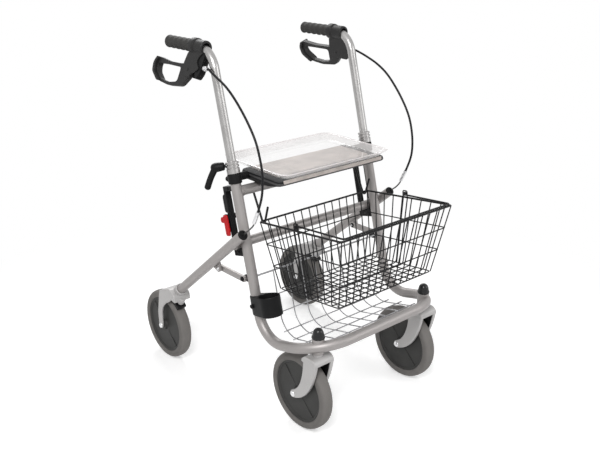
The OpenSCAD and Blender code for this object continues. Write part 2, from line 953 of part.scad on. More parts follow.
module brake_shoe(side) {
  block_w = wheel_w - 6;
  block_l = 28;
  color("black")
    on_side(side)
      on_shoe()
        union() {
          translate([-block_w / 2, shoe_r, -block_l / 2])
            cube([block_w, shoe_h, block_l]);
          translate([0, shoe_r + shoe_h - cut, 0])
            rotate([-90, 0, 0])
              cylinder(h = 18 + cut, r = shoe_pin_r);
        }
}

module axle_bolt() {
  half = arm_x + fork_t;
  union() {
    bar_x(-half, 2 * half, axle_r);
    for (x = [-half - bolt_h, half])
      bar_x(x, bolt_h, axle_r + 3.5);
  }
}

module rear_axles() {
  color("dimgray")
    for (side = BOTH)
      translate([side * rear_x, rear_y, wheel_r])
        axle_bolt();
}

module hub(y, x) {
  web = 8;
  rim = 13;
  rib_n = 2;
  rib_t = 3;
  rib_out = 3;
  rib_turn = 45;
  boss_r = 15;
  foot_r = boss_r + 2;
  outer = wheel_r - tyre_h;
  lip = outer - 9;
  color("dimgray")
    translate([x, y, wheel_r])
      difference() {
        union() {
          rotate([0, 90, 0])
            rotate_extrude()
              polygon([[1, -boss_w / 2], [boss_r, -boss_w / 2], [foot_r, -web], [lip - 3, -web], [lip, -rim],
                [outer, -rim], [outer, rim], [lip, rim], [lip - 3, web], [foot_r, web],
                [boss_r, boss_w / 2], [1, boss_w / 2]]);
          for (i = [0:rib_n - 1])
            rotate([rib_turn + i * 360 / rib_n, 0, 0])
              translate([-web - rib_out, boss_r - 1, -rib_t / 2])
                cube([2 * (web + rib_out), lip - boss_r + 2, rib_t]);
        }
        bar_x(-boss_w, 2 * boss_w, axle_r + fit);
      }
}

module tyre(y, x) {
  inner = wheel_r - tyre_h;
  round_r = (tyre_h - gap) / 2;
  half = wheel_w / 2;
  color("gray")
    translate([x, y, wheel_r])
      rotate([0, 90, 0])
        rotate_extrude()
          union() {
            translate([inner, -half])
              square([tyre_h - round_r, wheel_w]);
            translate([inner, -half + round_r])
              square([tyre_h, wheel_w - 2 * round_r]);
            for (way = BOTH)
              translate([wheel_r - round_r, way * (half - round_r)])
                circle(round_r);
          }
}

// Casters

module caster_fork(side) {
  arm_at = arm_x + fork_t / 2;
  color("silver")
    translate([side * stem_x, 0, 0])
      difference() {
        union() {
          plate(0, 2 * arm_x + 2 * fork_t)
            translate([stem_y, crown_z])
              polygon([[-24, 3], [-20, crown_h - 3], [-13, crown_h], [14, crown_h], [26, 8], [26, 0],
                [-23, 0]]);
          for (way = BOTH)
            fork_arm(way * arm_at, [stem_y - 2, crown_z + 6], [stem_y + 6, wheel_r + 20],
              [caster_y, wheel_r], 42, 20, 11);
          translate([0, stem_y, crown_z + crown_h - cut])
            cylinder(h = race_h - gap + cut, r = socket_r - 2);
          translate([0, stem_y, crown_z + cut])
            cylinder(h = socket_top - crown_z - 2 * cut, r = stem_r);
        }
        translate([0, caster_y, wheel_r])
          bar_x(-arm_at - fork_t, 2 * arm_at + 2 * fork_t, axle_r + fit);
      }
}

module caster_axle(side) {
  color("dimgray")
    translate([side * stem_x, caster_y, wheel_r])
      axle_bolt();
}

// Handles and brakes

module push_bend(r) {
  on_uprights()
    translate([half_w, push_bend_r, bend_s])
      rotate([90, 0, 90])
        rotate([0, 0, 180 - turn])
          rotate_extrude(angle = turn)
            translate([push_bend_r, 0])
              circle(r);
}

module push_level(r) {
  translate([half_w, corner_w[0] + bend_run, corner_w[1]])
    rotate([-90, 0, 0])
      cylinder(h = push_reach - bend_run, r = r);
}

module push_tube(side) {
  low = upright_h - push_insert;
  color("lightgray")
    on_side(side)
      union() {
        on_uprights()
          translate([half_w, 0, low])
            cylinder(h = bend_s - low, r = push_r);
        push_bend(push_r);
        push_level(push_r);
      }
}

module hand_grip(side) {
  color("dimgray")
    translate([side * half_w, corner_w[0] + grip_front, corner_w[1]])
      rotate([-90, 0, 0])
        difference() {
          rotate_extrude()
            polygon(concat([[0, 0]], grip_edge,
              [[grip_d / 2 - grip_end_t, grip_len + grip_end_t], [0, grip_len + grip_end_t]]));
          translate([0, 0, -cut])
            cylinder(h = grip_len + cut, r = push_r + fit);
        }
}

module round_y(y0, y1, r) {
  translate([0, y0, 0])
    rotate([-90, 0, 0])
      cylinder(h = y1 - y0, r = r);
}

module brake_housing(side) {
  color("dimgray")
    on_side(side)
      difference() {
        on_brake()
          difference() {
            union() {
              round_y(ring_back - ring_w, ring_back, ring_r);
              round_y(sleeve_front, ring_back - ring_w, sleeve_r);
              plate(0, housing_t)
                polygon(housing_edge);
              translate([0, 0, barrel_at[1]])
                round_y(barrel_at[0], barrel_at[0] + barrel_len, barrel_r);
            }
            plate(0, lever_t + 2 * gap)
              polygon(slot_edge);
            translate([0, lever_pin[0], lever_pin[1]])
              bar_x(-housing_t, 2 * housing_t, lever_pin_r + fit);
          }
        on_uprights()
          translate([half_w, 0, upright_h])
            cylinder(h = bend_s - upright_h, r = push_r + gap);
        push_bend(push_r + gap);
        push_level(push_r + fit);
      }
}

module brake_lever(side) {
  color("dimgray")
    on_side(side)
      on_brake()
        union() {
          plate(0, lever_t)
            difference() {
              polygon(lever_edge);
              polygon(finger_window);
            }
          plate(0, band_w)
            polygon(band_edge);
          translate([0, lever_pin[0], lever_pin[1]])
            bar_x(-housing_t / 2 - 1, housing_t + 2, lever_pin_r);
        }
}

module clamp_lever(side) {
  start = collar_r + gap;
  elbow = start + lever_hub_w;
  color("black")
    on_uprights()
      on_side(side)
        translate([half_w, 0, clamp_lever_s])
          rotate([0, 0, 45])
            union() {
              bar_x(start, lever_hub_w, lever_stud_r);
              bar_x(start + lever_hub_w / 4, lever_hub_w * 3 / 4, lever_hub_r);
              translate([elbow, 0, 0])
                sphere(lever_hub_r + gap);
              translate([elbow, 0, 0])
                rotate([0, 180 - atan2(lever_out, lever_down), 0])
                  cylinder(h = norm([lever_out, lever_down]), r1 = lever_hub_r - 1, r2 = lever_tip_r);
              translate([elbow + lever_out, 0, -lever_down])
                sphere(lever_tip_r + gap);
            }
}

// Seat and tray

module seat_shell() {
  low = seat_top - pad_t - seat_t;
  bumper_h = low - rail_w[1] - seat_rail_d / 2 - gap;
  under = seat_rise - pad_t - seat_t;
  over = seat_rise - pad_t;
  depth = seat_depth + seat_behind;
  color("dimgray")
    difference() {
      union() {
        intersection() {
          plate(0, seat_w)
            translate(hinge)
              polygon([[-seat_depth, over], [-seat_depth, over - seat_t / 2], [-seat_depth + 44, under],
                [16, under], [20, under + 6], [26, under + 10], [seat_behind, under + 14],
                [seat_behind, over]]);
          translate([0, seat_front + depth / 2, low - cut])
            rounded_slab(seat_w, depth, seat_t + 2 * cut, seat_corner);
        }
        translate([0, hinge[0], hinge[1]])
          bar_x(-seat_w / 2, seat_w, knuckle_r);
        for (side = BOTH)
          translate([side * seat_w / 3, rail_w[0], low - bumper_h])
            cylinder(h = bumper_h + cut, r = 9);
      }
      for (side = BOTH)
        on_side(side)
          translate([0, hinge[0], hinge[1]])
            bar_x(seat_w / 2 - 24, 24 + cut, hinge_r + fit);
    }
}

module seat_pad() {
  color("lightgray")
    translate([0, hinge[0] + (pad_behind - pad_front) / 2, seat_top - pad_t])
      rounded_slab(pad_w, pad_front + pad_behind, pad_t, pad_corner);
}

module tray_block(grow_down, inset) {
  y = tray_front + tray_depth / 2;
  side = tray_flare + inset;
  hull() {
    translate([0, y, seat_top + gap + grow_down])
      rounded_slab(tray_w - 2 * side, tray_depth - 2 * side, 0.1, 24, $fn = 32);
    translate([0, y, seat_top + gap + tray_h])
      rounded_slab(tray_w - 2 * inset, tray_depth - 2 * inset, inset > 0 ? cut : 0.1, 30, $fn = 32);
  }
}

module tray() {
  color([0.9, 0.95, 1, 0.4])
    difference() {
      tray_block(0, 0);
      tray_block(tray_wall, tray_wall);
    }
}

// Basket

// Wires of a wall along x at the depth y0, whose foot is drawn in by taper towards way.
module cross_wall(y0, way, taper) {
  count = 13;
  mid = (count - 1) / 2;
  half = basket_w / 2;
  stop = 1 - (wire_d / 2 + weld) / basket_h;
  rod([-half, y0, 0], [half, y0, 0], rim_d, 24);
  for (i = [-mid:mid]) {
    x = i * basket_w / (count + 1);
    foot_x = x * (1 - stop * basket_taper / half);
    rod([x, y0, 0], [foot_x, y0 + way * stop * taper, -stop * basket_h], wire_d, 8);
  }
  for (f = ring_levels) {
    w = half - f * basket_taper;
    y = y0 + way * (f * taper - wire_d / 2);
    rod([-w, y, -f * basket_h], [w, y, -f * basket_h], wire_d, 8);
  }
}

module basket_rear() {
  color("black")
    on_basket()
      union()
        cross_wall(0, -1, basket_taper);
}

module basket_front() {
  color("black")
    on_basket()
      union()
        cross_wall(-basket_depth, 1, front_taper);
}

module bail_ear() {
  half = basket_w / 2;
  for (way = BOTH) {
    y = bail_pin[0] + way * ear_gap / 2;
    rod([half, y, -wire_d], [half, y, ear_h], wire_d, 8);
  }
  rod([half, bail_pin[0] - ear_gap / 2 - wire_d / 2, ear_h],
    [half, bail_pin[0] + ear_gap / 2 + wire_d / 2, ear_h], wire_d, 8);
  translate([0, bail_pin[0], bail_pin[1]])
    bar_x(half - eyelet_w / 2, eyelet_w, eyelet_r);
}

module side_wall() {
  count = 8;
  half = basket_w / 2;
  stop = 1 - (wire_d / 2 + weld) / basket_h;
  room = rim_d / 2 + weld;
  difference() {
    union() {
      rod([half, -room, 0], [half, -basket_depth + room, 0], rim_d, 24);
      for (i = [1:count]) {
        u = i / (count + 1);
        low_y = floor_back + u * (floor_front - floor_back);
        y = -u * basket_depth;
        rod([half, y, 0], [half - stop * basket_taper, y + stop * (low_y - y), -stop * basket_h], wire_d, 8);
      }
      for (f = ring_levels) {
        x = half - f * basket_taper + wire_d / 2;
        rod([x, -f * basket_taper - wire_d, -f * basket_h],
          [x, f * front_taper + wire_d - basket_depth, -f * basket_h], wire_d, 8);
      }
      bail_ear();
    }
    translate([0, bail_pin[0], bail_pin[1]])
      bar_x(half - eyelet_w, 2 * eyelet_w, bail_d / 2 + fit);
  }
}

module basket_sides() {
  color("black")
    on_basket()
      for (side = BOTH)
        on_side(side)
          side_wall();
}

module basket_floor() {
  half = floor_w / 2;
  along = 14;
  across = 9;
  color("black")
    on_basket()
      translate([0, 0, -basket_h])
        union() {
          for (i = [0:along])
            translate([-half + i * floor_w / along, floor_front, -0.8 * wire_d])
              rotate([-90, 0, 0])
                cylinder(h = floor_back - floor_front, d = wire_d, $fn = 8);
          for (i = [0:across])
            translate([0, floor_front + i * (floor_back - floor_front) / across, 0])
              bar_x(-half - wire_d / 2, floor_w + wire_d, wire_d / 2, $fn = 8);
        }
}

module basket_bail() {
  front = -basket_depth;
  lift = rim_d / 2 + bail_d / 2 + gap;
  pin_in = basket_w / 2 - eyelet_w;
  side = [[pin_in, bail_pin[0], bail_pin[1]], [bail_x + 1, bail_pin[0] - 2, bail_pin[1]],
    [bail_x, bail_pin[0] - 7, bail_pin[1] - 0.2], [bail_x, front + 9, lift], [bail_x - 3, front + 2, lift],
    [bail_x - 9, front, lift]];
  other = reverse([for (p = side) [-p[0], p[1], p[2]]]);
  color("black")
    on_basket()
      union() {
        swept(concat(side, other), bail_d, 12, [0, 0, 1]);
        for (way = BOTH)
          on_side(way)
            translate([0, bail_pin[0], bail_pin[1]])
              bar_x(pin_in - cut, 2 * eyelet_w, bail_d / 2);
      }
}

front_frame();
seat_rail();
caster_sockets();
socket_caps();
shelf_grid();
guide(RIGHT);  // guide_right
guide(LEFT);  // guide_left
upright_lugs();
height_collars();
seat_clamps();
basket_hooks();
cane_cup();
cup_screw();
brake_cable(RIGHT);  // brake_cable_right
brake_cable(LEFT);  // brake_cable_left
cable_end(RIGHT);  // cable_end_right
cable_end(LEFT);  // cable_end_left
lock_latch();
strut(RIGHT);  // strut_right
strut(LEFT);  // strut_left
rear_leg(RIGHT);  // rear_leg_right
rear_leg(LEFT);  // rear_leg_left
rear_cross_tube();
leg_plugs();
rear_fork(RIGHT);  // rear_fork_right
rear_fork(LEFT);  // rear_fork_left
rear_axles();
hub(rear_y, RIGHT * rear_x);  // rear_hub_right
hub(rear_y, LEFT * rear_x);  // rear_hub_left
tyre(rear_y, RIGHT * rear_x);  // rear_tyre_right
tyre(rear_y, LEFT * rear_x);  // rear_tyre_left
brake_shoe(RIGHT);  // brake_shoe_right
brake_shoe(LEFT);  // brake_shoe_left
caster_fork(RIGHT);  // caster_fork_right
caster_fork(LEFT);  // caster_fork_left
caster_axle(RIGHT);  // caster_axle_right
caster_axle(LEFT);  // caster_axle_left
hub(caster_y, RIGHT * stem_x);  // caster_hub_right
hub(caster_y, LEFT * stem_x);  // caster_hub_left
tyre(caster_y, RIGHT * stem_x);  // caster_tyre_right
tyre(caster_y, LEFT * stem_x);  // caster_tyre_left
push_tube(RIGHT);  // push_tube_right
push_tube(LEFT);  // push_tube_left
hand_grip(RIGHT);  // hand_grip_right
hand_grip(LEFT);  // hand_grip_left
brake_housing(RIGHT);  // brake_housing_right
brake_housing(LEFT);  // brake_housing_left
brake_lever(RIGHT);  // brake_lever_right
brake_lever(LEFT);  // brake_lever_left
clamp_lever(RIGHT);  // clamp_lever_right
clamp_lever(LEFT);  // clamp_lever_left
seat_shell();
seat_pad();
tray();
basket_floor();
basket_front();
basket_rear();
basket_sides();
basket_bail();
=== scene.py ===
"""Dresses the solids of a four-wheeled walking frame with meshes, finishes, light and a camera.

Lengths are in millimetres until a mesh is finished.
Front is -Y, up is +Z and the user's right is -X.
"""

from __future__ import annotations

import json
import logging
import math
from dataclasses import dataclass
from enum import Enum
from functools import lru_cache
from typing import Callable, Iterable, Sequence, Union

import bmesh
import bpy
from mathutils import Matrix, Vector

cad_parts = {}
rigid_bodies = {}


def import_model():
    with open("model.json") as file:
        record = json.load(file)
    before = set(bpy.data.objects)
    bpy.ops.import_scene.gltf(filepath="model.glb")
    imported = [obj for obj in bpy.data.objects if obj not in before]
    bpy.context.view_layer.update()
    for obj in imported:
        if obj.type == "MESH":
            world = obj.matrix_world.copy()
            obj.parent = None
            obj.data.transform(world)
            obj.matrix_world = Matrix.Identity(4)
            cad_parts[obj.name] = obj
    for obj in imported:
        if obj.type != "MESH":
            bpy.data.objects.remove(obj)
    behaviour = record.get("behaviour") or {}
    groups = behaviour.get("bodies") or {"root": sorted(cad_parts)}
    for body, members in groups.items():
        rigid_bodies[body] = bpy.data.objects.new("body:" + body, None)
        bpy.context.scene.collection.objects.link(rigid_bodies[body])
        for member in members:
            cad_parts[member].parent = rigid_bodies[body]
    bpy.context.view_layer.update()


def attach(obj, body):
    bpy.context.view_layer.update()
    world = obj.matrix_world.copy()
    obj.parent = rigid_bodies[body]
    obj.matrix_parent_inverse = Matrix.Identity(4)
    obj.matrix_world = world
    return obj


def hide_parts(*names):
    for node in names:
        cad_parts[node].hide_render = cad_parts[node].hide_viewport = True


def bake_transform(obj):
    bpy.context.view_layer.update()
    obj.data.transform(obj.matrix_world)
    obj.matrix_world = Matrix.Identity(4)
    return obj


LOG = logging.getLogger("walking_frame")
MM = 0.001
SAME_POINT = 1e-4
STEEP = math.radians(50)
DOME_ANGLES = (80, 55, 28)
EDGE_SHARE = 0.45

Colour = tuple[float, float, float]
Flat = Sequence[float]
Radius = Union[float, Callable[[float], float]]


class Side(Enum):
    """The two sides of the walking frame; pieces are drawn on the left and mirrored."""

    RIGHT = -1
    LEFT = 1

    @property
    def tag(self) -> str:
        """Name of the side as the solids write it."""
        return self.name.lower()

    def matrix(self) -> Matrix:
        """Mirror that brings a left piece to this side."""
        return Matrix.Diagonal((self.value, 1, 1, 1))


def shift(x: float, y: float, z: float) -> Matrix:
    """Matrix that moves by x, y and z."""
    return Matrix.Translation((x, y, z))


def turn(axis: str, degrees: float) -> Matrix:
    """Matrix that turns about an axis by degrees."""
    return Matrix.Rotation(math.radians(degrees), 4, axis)


HERE = Matrix.Identity(4)
ALONG_X = turn("Y", 90)
ALONG_Y = turn("X", -90)
PLATE = Matrix(((0, 0, 1, 0), (1, 0, 0, 0), (0, 1, 0, 0), (0, 0, 0, 1)))
BOTH_WAYS = (-1, 1)


def plate_at(x: float) -> Matrix:
    """Matrix that stands an outline drawn in (y, z) up across x."""
    return shift(x, 0, 0) @ PLATE


def aimed(spot: Flat, target: Flat) -> Matrix:
    """Matrix that looks from a spot at a target."""
    way = Vector(target) - Vector(spot)
    return Matrix.Translation(spot) @ way.to_track_quat("-Z", "Y").to_matrix().to_4x4()


def crossbar(half: float, y: float = 0, z: float = 0) -> list[Flat]:
    """Path of a bar that lies across, from -half to half."""
    return [(x, y, z) for x in (-half, 0, half)]


def mesh_of(bm: bmesh.types.BMesh, name: str) -> bpy.types.Mesh:
    """Turns a bmesh into a mesh.

    Args:
        bm: Mesh in the making, which is used up.
        name: Name of the mesh.

    Returns:
        The finished mesh.
    """
    mesh = bpy.data.meshes.new(name)
    bm.to_mesh(mesh)
    bm.free()
    return mesh


def put(name: str, data: bpy.types.ID) -> bpy.types.Object:
    """Puts an object into the scene.

    Args:
        name: Name of the object.
        data: Mesh, lamp or camera that it holds.

    Returns:
        The object.
    """
    made = bpy.data.objects.new(name, data)
    bpy.context.scene.collection.objects.link(made)
    return made


@dataclass(frozen=True)
class Plan:
    """Sizes that the sub-assemblies share, as in the solid model."""

    half_w: float = 221.0
    lean: float = 14.6
    foot_y: float = -138.0
    foot_z: float = 204.512
    tube_r: float = 13.0
    push_r: float = 11.0
    upright_h: float = 446.0
    cross_t: float = 26.2
    cross_s: float = 249.7
    cross_r: float = 12.0
    leg_angle: float = 25.6
    leg_x: float = 251.0
    leg_r: float = 12.5
    wheel_r: float = 100.0
    crown_z: float = 206.0
    crown_h: float = 18.0
    arm_x: float = 20.0
    fork_t: float = 6.0
    corner: tuple[float, float] = (42.4817, 897.392)
    brake_tilt: float = 20.0
    basket_at: tuple[float, float] = (-81.2178, 495.006)
    basket_tilt: float = 7.0
    rail_at: tuple[float, float] = (-42.7178, 570.306)
    hinge: tuple[float, float] = (-24.7224, 599.72)
    seat_top: float = 611.72
    stem: tuple[float, float] = (184.589, -297.275)
    guide_x: float = 217.25
    guide_w: float = 16.5
    strut_pivot: tuple[float, float] = (23.0, 162.6)
    crown_inset: float = 1.0

    def uprights(self) -> Matrix:
        """Frame of the leaning uprights: y across them, z along them."""
        return shift(0, self.foot_y, self.foot_z) @ turn("X", -self.lean)

    def legs(self) -> Matrix:
        """Frame of the rear legs, from the cross tube, y along the legs."""
        return self.uprights() @ shift(0, self.cross_t, self.cross_s) @ turn("X", -self.leg_angle)

    def brake(self) -> Matrix:
        """Frame of the left brake, from the corner of the push tube, y along the grip."""
        return shift(self.half_w, *self.corner) @ turn("Y", -self.brake_tilt)

    def basket(self) -> Matrix:
        """Frame of the basket, from the middle of its rear rim."""
        return shift(0, *self.basket_at) @ turn("X", -self.basket_tilt)


PLAN = Plan()


def arc(centre: Flat, first: Flat, second: Flat, start: float, end: float,
        steps: int) -> list[Vector]:
    """Points of an arc.

    Args:
        centre: Middle of the arc.
        first: Radius vector at 0 degrees.
        second: Radius vector at 90 degrees.
        start: Angle of the first point in degrees.
        end: Angle of the last point in degrees.
        steps: Number of steps between them.

    Returns:
        The points from start to end.
    """
    angles = [math.radians(start + (end - start) * i / steps) for i in range(steps + 1)]
    middle, one, two = Vector(centre), Vector(first), Vector(second)
    return [middle + one * math.cos(a) + two * math.sin(a) for a in angles]


def soften(points: Iterable[Flat], radius: float, steps: int = 4,
           closed: bool = True) -> list[Vector]:
    """Rounds the corners of an outline or path.

    Args:
        points: Corners in order.
        radius: How far a rounding reaches along each edge, at most.
        steps: Steps of each rounding.
        closed: Whether the last corner joins the first.

    Returns:
        The points of the softened line.
    """
    corners = [Vector(p) for p in points]
    out: list[Vector] = []
    count = len(corners)
    for i, corner in enumerate(corners):
        if not closed and i in (0, count - 1):
            out.append(corner)
            continue
        before, after = corners[i - 1] - corner, corners[(i + 1) % count] - corner
        start = corner + before.normalized() * min(radius, EDGE_SHARE * before.length)
        end = corner + after.normalized() * min(radius, EDGE_SHARE * after.length)
        for k in range(steps + 1):
            u = k / steps
            out.append((1 - u) ** 2 * start + 2 * u * (1 - u) * corner + u * u * end)
    return out


def spline(points: Iterable[Flat], steps: int) -> list[Vector]:
    """Smooth curve through points.

    Args:
        points: Points that the curve passes.
        steps: Steps between each two of them.

    Returns:
        The points of the curve.
    """
    p = [Vector(q) for q in points]
    last = len(p) - 1
    out: list[Vector] = []
    for i in range(last):
        a, b, c, d = p[max(i - 1, 0)], p[i], p[i + 1], p[min(i + 2, last)]
        for k in range(steps):
            u = k / steps
            bend = 2 * a - 5 * b + 4 * c - d + u * (3 * b - a - 3 * c + d)
            out.append(b + u / 2 * (c - a + u * bend))
    return out + [p[last]]


def rounded_rect(width: float, depth: float, radius: float, centre: Flat = (0, 0),
                 z: float = 0) -> list[Vector]:
    """Points of a rounded rectangle in a level plane.

    Args:
        width: Size across.
        depth: Size front to back.
        radius: Corner radius.
        centre: Middle of the rectangle.
        z: Height of the plane.

    Returns:
        The points in order.
    """
    x, y = width / 2, depth / 2
    corners = [(x, y, 0), (-x, y, 0), (-x, -y, 0), (x, -y, 0)]
    return [p + Vector((*centre, z)) for p in soften(corners, radius, 7)]


def arm_outline(a: Flat, b: Flat, c: Flat, wide: float, narrow: float) -> list[Vector]:
    """Outline of an arm that follows a curve and ends round.

    Args:
        a: Start of the curve.
        b: Point that pulls the curve.
        c: End of the curve, the middle of the round end.
        wide: Width at the start.
        narrow: Width at the end.

    Returns:
        The closed outline.
    """
    a, b, c = Vector(a), Vector(b), Vector(c)
    steps = 16
    left: list[Vector] = []
    right: list[Vector] = []
    for i in range(steps + 1):
        u = i / steps
        along = ((1 - u) * (b - a) + u * (c - b)).normalized()
        across = Vector((-along.y, along.x)) * (wide + (narrow - wide) * u) / 2
        middle = (1 - u) ** 2 * a + 2 * u * (1 - u) * b + u * u * c
        left.append(middle + across)
        right.append(middle - across)
    end = arc(c, across, along * narrow / 2, 0, 180, 10)[1:-1]
    return left + end + right[::-1]


class Socket:
    """A shader output on which Python's operators work."""

    def __init__(self, graph: Graph, end: bpy.types.NodeSocket) -> None:
        """Wraps one output of a node."""
        self.graph = graph
        self.end = end

    def _math(self, operation: str, other: Value, swap: bool = False) -> Socket:
        """Adds a Math node for an operator."""
        pair = (other, self) if swap else (self, other)
        return self.graph.node("ShaderNodeMath", {"operation": operation}, dict(enumerate(pair)))

    def __add__(self, other: Value) -> Socket:
        """Sum."""
        return self._math("ADD", other)

    __radd__ = __add__

    def __mul__(self, other: Value) -> Socket:
        """Product."""
        return self._math("MULTIPLY", other)

    __rmul__ = __mul__

    def __sub__(self, other: Value) -> Socket:
        """Difference."""
        return self._math("SUBTRACT", other)

    def __rsub__(self, other: Value) -> Socket:
        """Difference from a number."""
        return self._math("SUBTRACT", other, swap=True)

    def __pow__(self, other: Value) -> Socket:
        """Power."""
        return self._math("POWER", other)

    def sine(self) -> Socket:
        """Sine of the value in radians."""
        return self._math("SINE", 0.0)

    def ramp(self, low: float, high: float) -> Socket:
        """Goes smoothly from 0 at low to 1 at high."""
        sockets = {"Value": self, "From Min": low, "From Max": high}
        return self.graph.node("ShaderNodeMapRange", {"interpolation_type": "SMOOTHSTEP"}, sockets)


Value = Union[float, Socket]


class Graph:
    """The nodes of one material."""

    def __init__(self, tree: bpy.types.NodeTree) -> None:
        """Starts with an empty tree."""
        self.tree = tree
        tree.nodes.clear()

    def node(self, kind: str, settings: dict | None = None, sockets: dict | None = None,
             out: int | str = 0) -> Socket:
        """Adds a node.

        Args:
            kind: Type name of the node.
            settings: Properties of the node, set first.
            sockets: Values or links of its inputs by name or number.
            out: Output that is returned.

        Returns:
            The chosen output.
        """
        made = self.tree.nodes.new(kind)
        for key, value in (settings or {}).items():
            setattr(made, key, value)
        for key, value in (sockets or {}).items():
            if isinstance(value, Socket):
                self.tree.links.new(value.end, made.inputs[key])
            else:
                made.inputs[key].default_value = value
        return Socket(self, made.outputs[out] if made.outputs else None)

    def place(self, scale: Flat = (1, 1, 1), tilt: float = 0.0, move: Flat = (0, 0, 0)) -> Socket:
        """Object coordinates, moved, tilted about X and scaled.

        Args:
            scale: Scale of the pattern along each axis.
            tilt: Turn about X in degrees.
            move: Shift of the coordinates in metres.

        Returns:
            The place as a vector.
        """
        here = self.node("ShaderNodeTexCoord", out="Object")
        turned = {"Vector": here, "Location": move, "Rotation": (math.radians(tilt), 0, 0),
                  "Scale": scale}
        return self.node("ShaderNodeMapping", {"vector_type": "POINT"}, turned)

    def noise(self, place: Socket, scale: float, detail: float = 2.0) -> Socket:
        """Noise of about the given number of lumps to the metre."""
        sockets = {"Vector": place, "Scale": scale, "Detail": detail}
        return self.node("ShaderNodeTexNoise", None, sockets)

    def part(self, place: Socket, axis: str) -> Socket:
        """One coordinate of a place."""
        return self.node("ShaderNodeSeparateXYZ", None, {"Vector": place}, axis)

    def reach(self, place: Socket, axes: str) -> Socket:
        """Distance of a place from the line across two axes."""
        first, second = (self.part(place, axis) for axis in axes)
        return (first * first + second * second) ** 0.5

    def mix(self, share: Value, first: Colour | Socket, second: Colour | Socket) -> Socket:
        """Colour between two colours.

        Args:
            share: Share of the second colour.
            first: Colour at 0.
            second: Colour at 1.

        Returns:
            The colour between them.
        """
        ends = [c if isinstance(c, Socket) else (*c, 1.0) for c in (first, second)]
        sockets = {0: share, 6: ends[0], 7: ends[1]}
        return self.node("ShaderNodeMix", {"data_type": "RGBA"}, sockets, 2)

    def bump(self, height: Socket, strength: float, depth: float) -> Socket:
        """Normal that follows a height of depth metres."""
        sockets = {"Strength": strength, "Distance": depth, "Height": height}
        return self.node("ShaderNodeBump", None, sockets, "Normal")

    def surface(self, **sockets: Value | Colour) -> None:
        """Ends the graph in a Principled shader; underscores in names stand for spaces.

        Args:
            **sockets: Values or links of the shader's inputs.
        """
        named = {key.replace("_", " "): value for key, value in sockets.items()}
        shader = self.node("ShaderNodeBsdfPrincipled", None, named)
        self.node("ShaderNodeOutputMaterial", None, {"Surface": shader})


def shade(colour: Colour, share: float) -> Colour:
    """Colour made lighter or darker by a share."""
    return tuple(min(1.0, c * share) for c in colour)


@dataclass(frozen=True)
class Finish:
    """A surface finish with the slot of the record that it stands for."""

    name: str
    slot: str
    colour: Colour
    roughness: float = 0.5

    def paint(self, graph: Graph) -> None:
        """Fills the graph of the material."""
        raise NotImplementedError


@lru_cache(maxsize=None)
def material_of(finish: Finish) -> bpy.types.Material:
    """The material of a finish, made once.

    Args:
        finish: Finish of a surface.

    Returns:
        The one material of that finish.
    """
    material = bpy.data.materials.new(finish.name)
    material.use_nodes = True
    finish.paint(Graph(material.node_tree))
    return material


@dataclass(frozen=True)
class SatinPaint(Finish):
    """Silver powder coat with fine flakes and a faint orange peel."""

    metallic: float = 0.55
    coat: float = 0.25

    def paint(self, graph: Graph) -> None:
        """Flakes and cloud in the colour, orange peel in the normal.

        Args:
            graph: Graph of the material.
        """
        place = graph.place()
        cloud = graph.noise(place, 14.0, 4.0)
        flake = graph.noise(place, 1900.0, 1.0)
        peel = graph.noise(place, 420.0, 2.0)
        share = (cloud * 0.45 + flake * 0.75 - 0.1).ramp(0.25, 0.75)
        graph.surface(
            Base_Color=graph.mix(share, shade(self.colour, 0.9), shade(self.colour, 1.08)),
            Metallic=self.metallic,
            Roughness=self.roughness + (cloud - 0.5) * 0.14,
            Coat_Weight=self.coat,
            Coat_Roughness=0.3,
            Normal=graph.bump(peel, 0.12, 0.0002),
        )


@dataclass(frozen=True)
class DrawnMetal(Finish):
    """Bare metal with fine draw lines along a tilted length."""

    tilt: float = 0.0
    stretch: tuple[float, float, float] = (1.0, 1.0, 0.02)
    line_share: float = 0.2

    def paint(self, graph: Graph) -> None:
        """Draw lines in the colour, the roughness and the normal.

        Args:
            graph: Graph of the material.
        """
        lines = graph.noise(graph.place(self.stretch, self.tilt), 1500.0, 3.0)
        smear = graph.noise(graph.place(), 22.0, 3.0)
        share = (lines * 0.7 + smear * 0.3).ramp(0.3, 0.7)
        graph.surface(
            Base_Color=graph.mix(share, shade(self.colour, 1 - self.line_share), self.colour),
            Metallic=1.0,
            Roughness=self.roughness + (smear - 0.5) * 0.2 + (lines - 0.5) * 0.1,
            Normal=graph.bump(lines, 0.1, 0.0001),
        )


@dataclass(frozen=True)
class Moulding(Finish):
    """Moulded plastic with a spark-eroded grain and faint flow marks."""

    grain: float = 1300.0
    grain_depth: float = 0.00012
    coat: float = 0.0
    shine: float = 0.3

    def paint(self, graph: Graph) -> None:
        """Grain in the normal, flow marks in the colour and the roughness.

        Args:
            graph: Graph of the material.
        """
        place = graph.place()
        grain = graph.noise(place, self.grain, 2.0)
        flow = graph.noise(place, 26.0, 4.0)
        share = (flow * 0.7 + grain * 0.3).ramp(0.3, 0.7)
        graph.surface(
            Base_Color=graph.mix(share, shade(self.colour, 0.82), shade(self.colour, 1.15)),
            Roughness=self.roughness + (flow - 0.5) * 0.18,
            Specular_IOR_Level=self.shine,
            Coat_Weight=self.coat,
            Coat_Roughness=0.15,
            Normal=graph.bump(grain, 0.35, self.grain_depth),
        )


